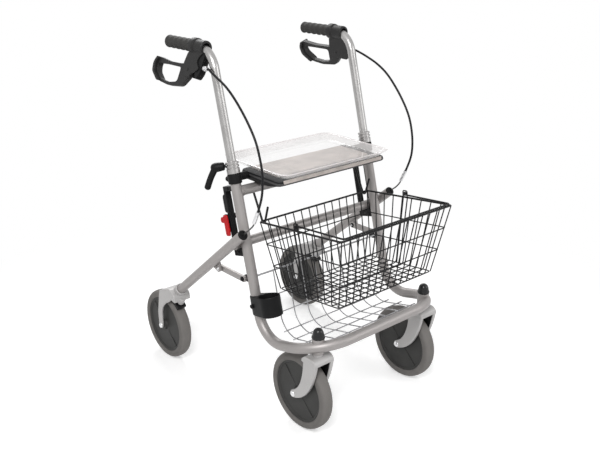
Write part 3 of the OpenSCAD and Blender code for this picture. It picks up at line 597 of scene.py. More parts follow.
@dataclass(frozen=True)
class TyreRubber(Finish):
    """Grey tyre rubber, paler on the tread and the shoulders than on the walls."""

    axle: tuple[float, float] = (0.0, 0.0)

    def paint(self, graph: Graph) -> None:
        """Tread by the distance from the axle, with mould rings and grain.

        Args:
            graph: Graph of the material.
        """
        place = graph.place(move=(0, -self.axle[0] * MM, -self.axle[1] * MM))
        reach = graph.reach(place, "YZ")
        grain = graph.noise(place, 900.0, 3.0)
        scuff = graph.noise(place, 35.0, 4.0)
        tread = reach.ramp(0.091, 0.099)
        tone = graph.mix(tread, shade(self.colour, 0.86), shade(self.colour, 1.08))
        worn = (scuff * 0.7 + grain * 0.3).ramp(0.35, 0.75)
        rings = (reach * 4200.0).sine()
        graph.surface(
            Base_Color=graph.mix(worn * 0.4, tone, shade(self.colour, 1.3)),
            Specular_IOR_Level=0.22,
            Roughness=self.roughness + (scuff - 0.5) * 0.2,
            Normal=graph.bump(grain * 0.7 + rings * 0.06, 0.3, 0.0003),
        )


@dataclass(frozen=True)
class CoatedWire(Finish):
    """Dipped wire with a glossy, slightly uneven coat."""

    metallic: float = 0.0
    coat: float = 0.6

    def paint(self, graph: Graph) -> None:
        """Unevenness of the dip in the normal and the colour.

        Args:
            graph: Graph of the material.
        """
        place = graph.place()
        dip = graph.noise(place, 260.0, 3.0)
        cloud = graph.noise(place, 30.0, 2.0)
        dark, pale = shade(self.colour, 0.8), shade(self.colour, 1.25)
        graph.surface(
            Base_Color=graph.mix(cloud.ramp(0.3, 0.7), dark, pale),
            Metallic=self.metallic,
            Roughness=self.roughness + (dip - 0.5) * 0.2,
            Specular_IOR_Level=0.2,
            Coat_Weight=self.coat,
            Coat_Roughness=0.2,
            Normal=graph.bump(dip, 0.25, 0.0003),
        )


@dataclass(frozen=True)
class ClearSheet(Finish):
    """Clear sheet that is painted whiter and less clear towards its rim and its folds, as painted
    reflection.
    """

    floor_z: float = 0.0
    rim_z: float = 0.0
    floor_alpha: float = 0.12
    wall_alpha: float = 0.4
    rim_alpha: float = 0.72

    def paint(self, graph: Graph) -> None:
        """Alpha and colour by the height above the tray's floor: painted reflection on the walls
        and the rim.

        Args:
            graph: Graph of the material.
        """
        place = graph.place()
        height = graph.part(place, "Z")
        # Walls and rim painted more opaque and whiter than the floor: painted reflection of the
        # sheet's folds and rolled rim.
        wall = height.ramp((self.floor_z + 0.5) * MM, (self.floor_z + 4.0) * MM)
        rim = height.ramp((self.rim_z - 3.0) * MM, (self.rim_z - 0.6) * MM)
        haze = graph.noise(place, 40.0, 3.0)
        alpha = self.floor_alpha + wall * (self.wall_alpha - self.floor_alpha)
        alpha = alpha + rim * (self.rim_alpha - self.wall_alpha) + (haze - 0.5) * 0.05
        graph.surface(
            Base_Color=graph.mix(rim, self.colour, (0.93, 0.88, 0.88)),
            Roughness=self.roughness + (haze - 0.5) * 0.04,
            Alpha=alpha,
            IOR=1.49,
            Coat_Weight=0.4,
        )


TYRE_GREY = (0.171, 0.162, 0.154)
TURNED = (0.6, 0.6, 0.6)
DRAWN_LONG = (0.5, 0.06, 0.5)
SILVER_PAINT = SatinPaint("satin_silver_paint", "frame_paint", (0.345, 0.325, 0.318), 0.47,
                          coat=0.08)
CAST_SILVER = SatinPaint("cast_fork_silver", "frame_paint", (0.47, 0.46, 0.455), 0.5, metallic=0.3,
                         coat=0.08)
PUSH_ALLOY = DrawnMetal("bright_push_tube", "bright_alloy", (0.47, 0.462, 0.456), 0.33,
                        tilt=PLAN.lean, line_share=0.3)
COLLAR_ALLOY = DrawnMetal("grooved_collar_alloy", "bright_alloy", (0.42, 0.41, 0.405), 0.36,
                          stretch=TURNED)
BRIGHT_PART = DrawnMetal("bright_turned_part", "bright_alloy", (0.8, 0.8, 0.81), 0.26,
                         stretch=TURNED)
ZINC_STEEL = DrawnMetal("zinc_plated_steel", "steel", (0.62, 0.62, 0.63), 0.34, stretch=DRAWN_LONG)
DARK_WIRE = DrawnMetal("inner_cable_wire", "steel", (0.12, 0.118, 0.116), 0.4, stretch=DRAWN_LONG)
SHELF_COAT = CoatedWire("shelf_wire_coat", "shelf_wire", (0.36, 0.36, 0.37), 0.4, metallic=0.6,
                        coat=0.2)
BLACK_COAT = CoatedWire("basket_wire_coat", "black_wire", (0.006, 0.006, 0.0065), 0.45, coat=0.05)
BLACK_MOULD = Moulding("black_moulding", "black_plastic", (0.0065, 0.0065, 0.007), 0.5, shine=0.16)
GLOSS_CAP = Moulding("glossy_black_cap", "black_plastic", (0.008, 0.008, 0.009), 0.26, coat=0.35,
                     shine=0.2)
SHEATH = Moulding("cable_sheath", "cable_sheath", (0.008, 0.008, 0.009), 0.46, shine=0.2)
RED_MOULD = Moulding("red_latch_moulding", "red_plastic", (0.52, 0.006, 0.01), 0.42, coat=0.05,
                     shine=0.14)
HUB_MOULD = Moulding("wheel_hub_moulding", "hub_plastic", (0.0415, 0.041, 0.0395), 0.54, shine=0.22)
BRAKE_MOULD = Moulding("brake_moulding", "brake_plastic", (0.021, 0.0205, 0.0205), 0.5, shine=0.22)
GRIP_SKIN = Moulding("soft_grip", "grip_rubber", (0.046, 0.045, 0.043), 0.7, shine=0.2, grain=800.0,
                     grain_depth=0.0003)
SEAT_MOULD = Moulding("seat_moulding", "seat_plastic", (0.011, 0.011, 0.012), 0.5, shine=0.2)
# Lighter grey of the seat's edge stripe: a painted highlight along the black shell's side.
SEAT_HIGHLIGHT_GREY = Moulding("seat_edge_trim", "seat_plastic", (0.07, 0.069, 0.07), 0.4)
PAD_SKIN = Moulding("seat_pad_skin", "pad_plastic", (0.58, 0.52, 0.485), 0.58, grain=420.0,
                    grain_depth=0.0006)
CLEAR = ClearSheet("clear_tray_sheet", "clear_plastic", (0.9, 0.875, 0.868), 0.06, floor_z=612.1,
                   rim_z=629.1)


class Form:
    """A mesh in the making, in millimetres."""

    def __init__(self) -> None:
        """Starts empty."""
        self.bm = bmesh.new()

    def _take(self, part: bmesh.types.BMesh, at: Matrix) -> Form:
        """Adds a closed part at a place.

        Args:
            part: Mesh of the part, which is used up.
            at: Place of the part.

        Returns:
            This form.
        """
        bmesh.ops.recalc_face_normals(part, faces=part.faces)
        bmesh.ops.transform(part, matrix=at, verts=part.verts)
        mesh = mesh_of(part, "part")
        self.bm.from_mesh(mesh)
        bpy.data.meshes.remove(mesh)
        return self

    def lathe(self, profile: Sequence[Flat], at: Matrix = HERE, steps: int = 48,
              ring: bool = False) -> Form:
        """Spins a profile of (radius, height) about its own axis.

        Args:
            profile: Points from one end to the other.
            at: Place of the axis, which is local z.
            steps: Steps of the turn.
            ring: Whether the profile closes on itself.

        Returns:
            This form.
        """
        part = bmesh.new()
        verts = [part.verts.new((p[0], 0, p[1])) for p in profile]
        pairs = list(zip(verts, verts[1:])) + ([(verts[-1], verts[0])] if ring else [])
        edges = [part.edges.new(pair) for pair in pairs]
        bmesh.ops.spin(part, geom=verts + edges, cent=(0, 0, 0), axis=(0, 0, 1), angle=math.tau,
                       steps=steps, use_merge=True, use_duplicate=False)
        bmesh.ops.remove_doubles(part, verts=part.verts, dist=SAME_POINT)
        return self._take(part, at)

    def tube(self, path: Iterable[Flat], radius: Radius, at: Matrix = HERE, sides: int = 16,
             dome: float = 0.0, loop: bool = False) -> Form:
        """Round bar along points.

        Args:
            path: Points of its middle line.
            radius: Radius, or a function of the share of the way.
            at: Place of the path.
            sides: Sides of the bar.
            dome: Length of the rounded end at both ends.
            loop: Whether the last point joins the first.

        Returns:
            This form.
        """
        points = [Vector(p) for p in path]
        last = len(points) - 1
        part = bmesh.new()
        up: Vector | None = None
        stations: list[tuple[Vector, Vector, float]] = []
        for i, point in enumerate(points):
            before = points[i - 1] if loop or i else point
            after = points[(i + 1) % len(points)] if loop or i < last else point
            size = radius(i / last) if callable(radius) else radius
            stations.append((point, (after - before).normalized(), size))
        if dome:
            caps = [math.radians(a) for a in DOME_ANGLES]
            point, way, size = stations[0]
            first = [(point - way * dome * math.sin(a), way, size * math.cos(a)) for a in caps]
            point, way, size = stations[-1]
            end = [(point + way * dome * math.sin(a), way, size * math.cos(a))
                   for a in reversed(caps)]
            stations = first + stations + end
        rings = []
        for point, way, size in stations:
            up = way.orthogonal() if up is None else up - way * up.dot(way)
            up.normalize()
            matrix = Matrix((up, way.cross(up), way)).transposed().to_4x4()
            matrix.translation = point
            made = bmesh.ops.create_circle(part, cap_ends=False, segments=sides, radius=size,
                                           matrix=matrix)
            rings.append((made["verts"], list({e for v in made["verts"] for e in v.link_edges})))
        pairs = list(zip(rings, rings[1:])) + ([(rings[-1], rings[0])] if loop else [])
        for one, two in pairs:
            bmesh.ops.bridge_loops(part, edges=one[1] + two[1])
        if not loop:
            part.faces.new(rings[0][0])
            part.faces.new(rings[-1][0])
        return self._take(part, at)

    def slab(self, outline: Sequence[Flat], thick: float, at: Matrix = HERE, bevel: float = 1.0,
             hole: Sequence[Flat] | None = None, segments: int = 3) -> Form:
        """Plate of an outline with rounded rims.

        Args:
            outline: Corners in the local plane.
            thick: Thickness, half of it on each side of the plane.
            at: Place of the plane.
            bevel: Radius of the rims.
            hole: Outline of an opening, if it has one.
            segments: Steps of the rounding.

        Returns:
            This form.
        """
        part = bmesh.new()
        loops = [[part.verts.new((p[0], p[1], -thick / 2)) for p in line]
                 for line in (outline, hole or [])]
        if hole:
            edges = [part.edges.new((a, b)) for line in loops
                     for a, b in zip(line, line[1:] + line[:1])]
            bmesh.ops.triangle_fill(part, use_beauty=True, edges=edges, normal=(0, 0, 1))
        else:
            part.faces.new(loops[0])
        made = bmesh.ops.extrude_face_region(part, geom=part.faces[:])
        top = [v for v in made["geom"] if isinstance(v, bmesh.types.BMVert)]
        bmesh.ops.translate(part, verts=top, vec=(0, 0, thick))
        bmesh.ops.recalc_face_normals(part, faces=part.faces)
        self._soften_rims(part, bevel, segments)
        return self._take(part, at)

    def block(self, size: Flat, at: Matrix = HERE, bevel: float = 1.0, segments: int = 3) -> Form:
        """Box with rounded edges, centred on its place.

        Args:
            size: Lengths along x, y and z.
            at: Place of its middle.
            bevel: Radius of its edges.
            segments: Steps of the rounding.

        Returns:
            This form.
        """
        part = bmesh.new()
        bmesh.ops.create_cube(part, size=1.0, matrix=Matrix.Diagonal((*size, 1)))
        self._soften_rims(part, bevel, segments)
        return self._take(part, at)

    @staticmethod
    def _soften_rims(part: bmesh.types.BMesh, bevel: float, segments: int) -> None:
        """Rounds the edges at which faces meet steeply.

        Args:
            part: Mesh whose edges are rounded.
            bevel: Radius of the rounding.
            segments: Steps of the rounding.
        """
        steep = [e for e in part.edges if len(e.link_faces) == 2 and e.calc_face_angle(0) > STEEP]
        if bevel and steep:
            bmesh.ops.bevel(part, geom=steep, offset=bevel, offset_type="OFFSET", segments=segments,
                            profile=0.5, affect="EDGES", material=-1, clamp_overlap=True)

    def loft(self, loops: Sequence[Sequence[Flat]], at: Matrix = HERE) -> Form:
        """Closed skin over loops of equal counts, capped at both ends.

        Args:
            loops: Loops from one end to the other.
            at: Place of the loops.

        Returns:
            This form.
        """
        part = bmesh.new()
        rings = []
        for line in loops:
            verts = [part.verts.new(p) for p in line]
            edges = [part.edges.new((a, b)) for a, b in zip(verts, verts[1:] + verts[:1])]
            rings.append((verts, edges))
        for one, two in zip(rings, rings[1:]):
            bmesh.ops.bridge_loops(part, edges=one[1] + two[1])
        part.faces.new(rings[0][0])
        part.faces.new(rings[-1][0])
        return self._take(part, at)

    def shape(self, change: Callable[[Vector], Vector]) -> Form:
        """Moves every point by a function of its place.

        Args:
            change: Function from the old place of a point to the new one.

        Returns:
            This form.
        """
        for vert in self.bm.verts:
            vert.co = change(vert.co)
        return self

    def place(self, at: Matrix) -> Form:
        """Moves the whole form."""
        bmesh.ops.transform(self.bm, matrix=at, verts=self.bm.verts)
        return self

    def piece(self, name: str, finish: Finish, body: str, nodes: Sequence[str] = (),
              side: Side | None = None, sharp: float = 40.0) -> bpy.types.Object:
        """Finishes the form as a piece of the model.

        Args:
            name: Name of the piece.
            finish: Finish of its surface.
            body: Body that carries it, or nothing, which leaves it on no body.
            nodes: Solids that it stands for.
            side: Side that a left form is brought to.
            sharp: Angle in degrees above which an edge stays sharp.

        Returns:
            The object.
        """
        if side is not None:
            self.place(side.matrix())
        bmesh.ops.recalc_face_normals(self.bm, faces=self.bm.faces)
        bmesh.ops.scale(self.bm, vec=(MM, MM, MM), verts=self.bm.verts)
        for face in self.bm.faces:
            face.smooth = True
        mesh = mesh_of(self.bm, name)
        mesh.set_sharp_from_angle(angle=math.radians(sharp))
        mesh.materials.append(material_of(finish))
        made = put(name, mesh)
        if body:
            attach(made, body)
            weighted = made.modifiers.new("even_normals", "WEIGHTED_NORMAL")
            weighted.keep_sharp = True
        if nodes:
            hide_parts(*nodes)
        LOG.info("piece %s on %s: %d faces", name, body or "two bodies", len(mesh.polygons))
        return made

    def pair_piece(self, name: str, finish: Finish, side: Side, body: str, node: str = "") -> None:
        """Finishes a left form as the piece of one side, whose tag follows each of the names.

        Args:
            name: Name of the piece.
            finish: Finish of its surface.
            side: Side that the form is brought to.
            body: Body that carries it.
            node: Solid that it stands for, or nothing.
        """
        tag = side.tag
        nodes = [f"{node}_{tag}"] if node else ()
        self.piece(f"{name}_{tag}", finish, f"{body}_{tag}", nodes, side)


def mirrored(half: list[Flat]) -> list[Flat]:
    """Profile of a wheel from its upper half, where a point on the middle plane counts once."""
    return half + [(r, -z) for r, z in reversed(half) if z]


def bolt_head(radius: float, height: float) -> list[Flat]:
    """Profile of a domed bolt head that stands on its washer.

    Args:
        radius: Radius of the head.
        height: Height of the head with its washer.

    Returns:
        The points from the top down to the axis.
    """
    washer = radius * 1.25
    dome = [(0, 1), (0.5, 0.94), (0.85, 0.7), (1, 0.35)]
    foot = [(washer, height * 0.3), (washer, 0), (0, 0)]
    return [(radius * r, height * h) for r, h in dome] + foot


@dataclass
class FrontFrame:
    """The bent front tube with what is welded, clamped or hung on it."""

    body: str = "front_frame"
    heel_r: float = 70.0
    upright_steps: tuple[float, float] = (250.0, 160.0)
    loop_depth: float = 201.0
    loop_corner_r: float = 105.0
    rail_s: float = 378.0
    rail_r: float = 12.5
    rail_inset: float = 6.0
    socket_r: float = 15.0
    socket_z: float = 229.0
    socket_top: float = 268.0
    shelf_wires: int = 8
    shelf_wire_r: float = 1.6
    shelf_step: float = 44.873
    shelf_arc: float = 56.0
    shelf_lift: float = -9.0
    shelf_top: float = 165.0
    shelf_inner_r: float = 94.312
    shelf_overlap: float = 4.0
    rod_overhang: float = 12.0
    rod_weld: float = 0.4
    rod_rows: tuple[float, float, float] = (-52.0, -100.0, -148.0)
    rod_at_bend: tuple[float, float] = (-18.4, 9.4)
    rod_heights: tuple[float, float] = (56.0, 104.0)
    top_rod_r: float = 2.4
    top_rod_inset: float = 13.4
    clamp_s: float = 398.0
    clamp_h: float = 24.0
    collar_top: float = 452.0
    hinge_at: tuple[float, float] = (10.0, 411.0)
    hinge_boss_x: float = 176.4
    cup_r: float = 25.0
    cup_at: tuple[float, float] = (7.0, -44.0)
    cup_low: float = 70.0
    cup_h: float = 50.0
    cup_wall: float = 2.4
    cup_steps: int = 72
    cup_blend: int = 30
    cup_screw_x: float = -15.2
    hook_x: float = 172.0
    hook_bend: float = 5.55
    hook_turn: tuple[float, float] = (-24.6, -164.0)
    hook_r: float = 2.75
    hook_tip: tuple[float, float, float] = (0.0, -11.5752, 40.3746)
    guide_low: float = 217.0
    guide_foot: float = 237.3
    guide_head: float = 379.7
    guide_top: float = 391.7
    guide_bolts: tuple[float, float] = (227.0, 386.0)
    lug_x: float = 220.2
    lug_bolt_x: float = 237.4

    def build(self) -> None:
        """Builds every piece of the front frame."""
        self.front_tube()
        self.sockets()
        self.shelf()
        self.collars()
        self.clamps()
        self.cup()
        self.hooks()
        for side in Side:
            self.guide(side)
            self.lug(side)

    def front_tube(self) -> None:
        """Front loop, heels and uprights as one bent tube, and the seat rail."""
        w, r, c = PLAN.half_w, self.heel_r, self.loop_corner_r
        loop_x, loop_t = w - c, self.loop_depth - c
        half = [Vector((w, 0, s)) for s in (PLAN.upright_h, *self.upright_steps)]
        half += arc((w, -r, r), (0, r, 0), (0, 0, -r), 0, 90, 14)
        half += arc((loop_x, -loop_t, 0), (c, 0, 0), (0, -c, 0), 0, 90, 20)
        half.append(Vector((0, -self.loop_depth, 0)))
        path = half + [Vector((-p.x, p.y, p.z)) for p in reversed(half[:-1])]
        form = Form().tube(path, PLAN.tube_r, PLAN.uprights(), sides=40)
        form.piece("front_tube", SILVER_PAINT, self.body, ["front_frame"])
        r = self.rail_r
        bar = crossbar(w - self.rail_inset, 0, self.rail_s)
        rail = Form().tube(bar, r, PLAN.uprights(), sides=36)
        bead = [(r - 0.6, -1.6), (r + 1.3, -1), (r + 1.5, 0.5), (r, 1.8)]
        for way in BOTH_WAYS:
            spot = shift(way * (w - PLAN.tube_r - 0.5), 0, self.rail_s) @ ALONG_X
            rail.lathe(bead, PLAN.uprights() @ spot, 36, ring=True)
        rail.piece("seat_rail_tube", SILVER_PAINT, self.body, ["seat_rail"])

    def sockets(self) -> None:
        """Steering sockets and their black caps."""
        posts, caps = Form(), Form()
        r, high = self.socket_r, self.socket_top - self.socket_z
        post = soften([(6.2, 0), (r, 0), (r, high), (6.2, high)], 1.2, 3)
        cap = [(0, 26), (4, 25.4), (7.8, 23.6), (10.8, 20.4), (12.6, 16), (13.5, 11), (14.2, 8),
               (15.6, 5.8), (16, 4), (16, 1.5), (15.4, 0.4), (14, 0), (0, 0)]
        for side in Side:
            at = shift(side.value * PLAN.stem[0], PLAN.stem[1], 0)
            posts.lathe(post, at @ shift(0, 0, self.socket_z), ring=True)
            caps.lathe(cap, at @ shift(0, 0, self.socket_top))
        posts.piece("steering_sockets", SILVER_PAINT, self.body, ["caster_sockets"])
        caps.piece("steering_caps", GLOSS_CAP, self.body, ["socket_caps"], sharp=60)

    def shelf_front(self, x: float) -> float:
        """How far a shelf wire at x reaches ahead before it meets the loop.

        Args:
            x: Place of the wire across.

        Returns:
            The distance ahead of the uprights.
        """
        loop_x = PLAN.half_w - self.loop_corner_r
        past = max(0.0, abs(x) + self.shelf_wire_r - loop_x)
        inside = math.sqrt(self.shelf_inner_r**2 - past**2)
        return self.loop_depth - self.loop_corner_r + inside + self.shelf_overlap

    def shelf(self) -> None:
        """Wire shelf inside the front loop: bent wires and the rods across them."""
        form = Form()
        r, lift, bend = self.shelf_wire_r, self.shelf_lift, self.shelf_arc
        at, middle = PLAN.uprights(), (self.shelf_wires - 1) / 2
        for i in range(self.shelf_wires):
            x = (i - middle) * self.shelf_step
            path = [(x, -self.shelf_front(x), lift)]
            path += arc((x, -bend, lift + bend), (0, 0, -bend), (0, bend, 0), 0, 90, 12)
            form.tube(path + [(x, 0, self.shelf_top)], r, at, sides=10)
        on_wires = 2 * r - self.rod_weld
        rows = [(y, lift + on_wires) for y in self.rod_rows] + [self.rod_at_bend]
        rows += [(-on_wires, z) for z in self.rod_heights]
        reach = middle * self.shelf_step + self.rod_overhang
        for y, z in rows:
            form.tube(crossbar(reach, y, z), r, at, sides=10, dome=r)
        top = crossbar(PLAN.half_w - self.top_rod_inset, 0, self.shelf_top)
        form.tube(top, self.top_rod_r, at, sides=10, dome=r)
        form.piece("shelf_wires", SHELF_COAT, self.body, ["shelf_grid"])

    def collars(self) -> None:
        """Bright grooved collars at the top of the uprights."""
        form = Form()
        low, top = self.clamp_s + self.clamp_h + 0.2, self.collar_top
        edge = [(13.05, low), (15.4, low), (16, low + 0.8), (16, low + 11)]
        for groove in (top - 17, top - 9):
            edge += [(16, groove - 0.3), (13.8, groove + 0.2), (13.8, groove + 2.2),
                     (16, groove + 2.7)]
        edge += [(16, top - 2.4), (15, top - 0.8), (12.6, top)]
        edge += [(11.1, top), (11.1, top - 6), (13.05, top - 6)]
        for side in Side:
            form.lathe(edge, PLAN.uprights() @ shift(side.value * PLAN.half_w, 0, 0), ring=True)
        form.piece("grooved_collars", COLLAR_ALLOY, self.body, ["height_collars"], sharp=30)

    def clamps(self) -> None:
        """Black clamps with knobs that carry the seat hinge."""
        form = Form()
        s, h = self.clamp_s, self.clamp_h
        band = soften([(13.02, s), (16.5, s), (16.5, s + h), (13.02, s + h)], 1.2, 3)
        knob = [(0, 9), (4.6, 8.6), (6.2, 7.2), (6.6, 5), (6.6, 1.5), (5, 0), (0, 0)]
        t, hinge_s = self.hinge_at
        boss = soften([(0, 0), (10, 0), (10, 40), (0, 40)], 2.0, 3, closed=False)
        for side in Side:
            at = PLAN.uprights() @ side.matrix()
            form.lathe(band, at @ shift(PLAN.half_w, 0, 0), ring=True)
            form.block((12, 14, h - 8), at @ shift(PLAN.half_w, 17.5, s + h / 2), 1.6)
            form.lathe(knob, at @ shift(PLAN.half_w, 24, s + h / 2) @ ALONG_Y, 24)
            form.lathe(boss, at @ shift(self.hinge_boss_x, t, hinge_s) @ ALONG_X, 36)
        form.piece("seat_hinge_clamps", BLACK_MOULD, self.body, ["seat_clamps"])

    def cup_ways(self) -> list[Vector]:
        """Directions all round the cane cup."""
        return arc((0, 0), (1, 0), (0, 1), 0, 360, self.cup_steps)[:-1]

    def cup_outline(self, grow: float, s: float) -> list[Vector]:
        """Outline of the cane cup together with the band round the upright.

        Args:
            grow: How far the outline lies outside the moulded one.
            s: Height along the upright.

        Returns:
            The points about the axis of the cup.
        """
        cup = Vector(self.cup_at)
        big, small = (r + self.cup_wall + grow for r in (self.cup_r, PLAN.tube_r))
        out = []
        for way in self.cup_ways():
            reach = big
            for k in range(1, self.cup_blend + 1):
                u = k / self.cup_blend
                middle, radius = -cup * u, big + (small - big) * u
                along = way.dot(middle)
                left = along**2 - middle.length_squared + radius**2
                if left > 0:
                    reach = max(reach, along + math.sqrt(left))
            out.append(Vector((*(cup + way * reach), s)))
        return out

    def cup(self) -> None:
        """Cane cup that grows out of the band round the upright, and the clamp screw."""
        low, h, r = self.cup_low, self.cup_h, self.cup_r
        skin = [(-3.0, 0), (-1.2, 0.5), (-0.3, 1.6), (0, 3.4), (0, h - 1.6), (-0.5, h - 0.5),
                (-1.2, h)]
        loops = [self.cup_outline(grow, low + up) for grow, up in skin]
        centre = Vector((*self.cup_at, low))
        bore = [(r + 0.6, h), (r + 0.1, h - 0.7), (r - 0.2, 9), (r - 1.6, 5.4), (r - 5, 4.2)]
        for radius, up in bore:
            loops.append([centre + Vector((*(way * radius), up)) for way in self.cup_ways()])
        at = PLAN.uprights() @ shift(-PLAN.half_w, 0, 0)
        Form().loft(loops, at).piece("cane_cup_moulding", BLACK_MOULD, self.body, ["cane_cup"])
        knob = [(0, 6.0), (3.6, 5.8), (5.2, 4.6), (5.5, 2.8), (5.5, 0.5), (4.5, 0), (0, 0)]
        spot = at @ shift(self.cup_screw_x, 0, low + h / 2) @ turn("Y", -90)
        Form().lathe(knob, spot, 28).piece("cup_clamp_screw", BLACK_MOULD, self.body, ["cup_screw"])

    def hooks(self) -> None:
        """Two J-hooks on the seat rail that carry the rear rim of the basket."""
        y, z = PLAN.basket_at
        x, bend = self.hook_x, self.hook_bend
        path = [(x, PLAN.rail_at[0], PLAN.rail_at[1] - 11)]
        path += arc((x, y, z), (0, bend, 0), (0, 0, bend), *self.hook_turn, 12)
        path.append(path[-1] + Vector(self.hook_tip))
        form = Form()
        for side in Side:
            form.tube(path, self.hook_r, side.matrix(), sides=14, dome=2.2)
        form.piece("basket_j_hooks", BLACK_COAT, self.body, ["basket_hooks"])

    def guide(self, side: Side) -> None:
        """Black slide guide of the folding cross tube, with the latch ears on the right.

        Args:
            side: Side that it is built for.
        """
        low, foot, head, top = self.guide_low, self.guide_foot, self.guide_head, self.guide_top
        edge = [(11.4, low), (53.4, low), (53.4, top), (13.2, top), (13.2, head), (44.4, head),
                (44.4, foot), (11.4, foot)]
        at, middle, wide = PLAN.uprights(), PLAN.guide_x, PLAN.guide_w
        form = Form().slab(soften(edge, 2.5, 3), wide, at @ plate_at(middle), 1.6)
        form.block((12, 1.6, 146), at @ shift(middle + 2, 13, 308), 0.3, 2)
        for x, t, deep in ((210.5, 12, 10), (224, 14.2, 6)):
            form.block((3, deep, foot - low), at @ shift(x, t, (low + foot) / 2), 0.4)
        for s in self.guide_bolts:
            form.lathe(bolt_head(3.4, 2.4), at @ shift(middle + wide / 2, 34, s) @ ALONG_X, 24)
        if side is Side.RIGHT:
            ear = [(46, 309), (60, 309), (66, 311.5), (68, 316), (66, 321), (60, 323), (46, 323)]
            for way in BOTH_WAYS:
                form.slab(soften(ear, 3), 2.5, at @ plate_at(middle + way * (wide / 2 + 1.65)), 0.8)
            cover = [(51, 326), (59, 326), (62.4, 331), (62.4, 366), (58, 372), (51, 372)]
            form.slab(soften(cover, 4), wide, at @ plate_at(middle), 2.0)
        form.piece(f"slide_guide_{side.tag}", BLACK_MOULD, self.body, [f"guide_{side.tag}"], side)

    def lug(self, side: Side) -> None:
        """Bracket, spacer and bolt of the lower strut pivot.

        Args:
            side: Side that it is built for.
        """
        at = PLAN.uprights() @ shift(0, *PLAN.strut_pivot)
        edge = [(-11.6, -9), (-2, -9), (6, -7.4), (9, 0), (6, 7.4), (-2, 9), (-11.6, 9)]
        form = Form().slab(soften(edge, 4), 14.4, at @ plate_at(self.lug_x), 1.6)
        for x, t in ((214.1, -9.2), (226.3, -8.5)):
            form.block((2.2, 8, 18), at @ shift(x, t, 0), 0.4)
        form.lathe(bolt_head(4.6, 3.6), at @ shift(self.lug_bolt_x, 0, 0) @ ALONG_X, 24)
        form.piece(f"strut_bracket_{side.tag}", BLACK_MOULD, self.body,
                   ["upright_lugs"] if side is Side.RIGHT else (), side)


@dataclass
class Wheel:
    """A wheel: moulded hub and grey tyre."""

    x: float
    y: float
    hub_name: str
    tyre_name: str
    body: str
    ridge: tuple[float, float, float] = (60.0, 3.6, 3.2)
    ridge_r: float = 44.0
    ridge_up: float = 9.9
    ridge_turns: tuple[float, float] = (135.0, -45.0)

    def build(self) -> None:
        """Builds the hub and the tyre."""
        at = shift(self.x, self.y, PLAN.wheel_r) @ ALONG_X
        face = [(4.1, 19.3), (11, 19.3), (13.4, 18.4), (14.6, 13), (17, 11), (40, 10.2), (70, 9.2),
                (73.4, 9.6), (75.4, 12), (77, 12.9), (80, 13), (84, 13)]
        hub = Form().lathe(mirrored(face), at, 72, ring=True)
        for degrees in self.ridge_turns:
            spoke = at @ turn("Z", degrees)
            for way in BOTH_WAYS:
                hub.block(self.ridge, spoke @ shift(self.ridge_r, 0, way * self.ridge_up), 0.7, 2)
        hub.piece(f"{self.hub_name}_moulding", HUB_MOULD, self.body, [self.hub_name])
        wall = [(80, 12.6), (80.3, 14.6), (81.6, 16), (84, 16.8), (87, 17), (90.4, 16.9),
                (93, 16.2), (95.4, 14.8), (97.2, 12.9), (98.4, 10.6), (98.9, 9.2), (98.6, 8.8),
                (99, 8.4), (99.6, 6), (99.8, 3.6), (99.4, 3.2), (99.8, 2.8), (100, 0)]
        rubber = TyreRubber(f"tyre_rubber_at_{round(self.y)}".replace("-", "front_"), "tyre_grey",
                            TYRE_GREY, 0.7, axle=(self.y, PLAN.wheel_r))
        tyre = Form().lathe(mirrored(wall), at, 96, ring=True)
        tyre.piece(f"{self.tyre_name}_rubber", rubber, self.body, [self.tyre_name])


def axle_pin(form: Form, at: Matrix, reach: float) -> Form:
    """Adds an axle with a bright domed cap at both ends.

    Args:
        form: Form that takes the axle.
        at: Middle of the axle, whose length is local z.
        reach: From the middle to the foot of a cap.

    Returns:
        The form.
    """
    dome = [(0, 3.0), (3.4, 2.8), (5.8, 2.1), (7.2, 0.9), (7.5, 0), (7.5, -0.4), (4, -0.4)]
    cap = dome + [(4, -reach), (0, -reach)]
    for way in (0, 180):
        form.lathe(cap, at @ turn("X", way) @ shift(0, 0, reach), 32)
    return form


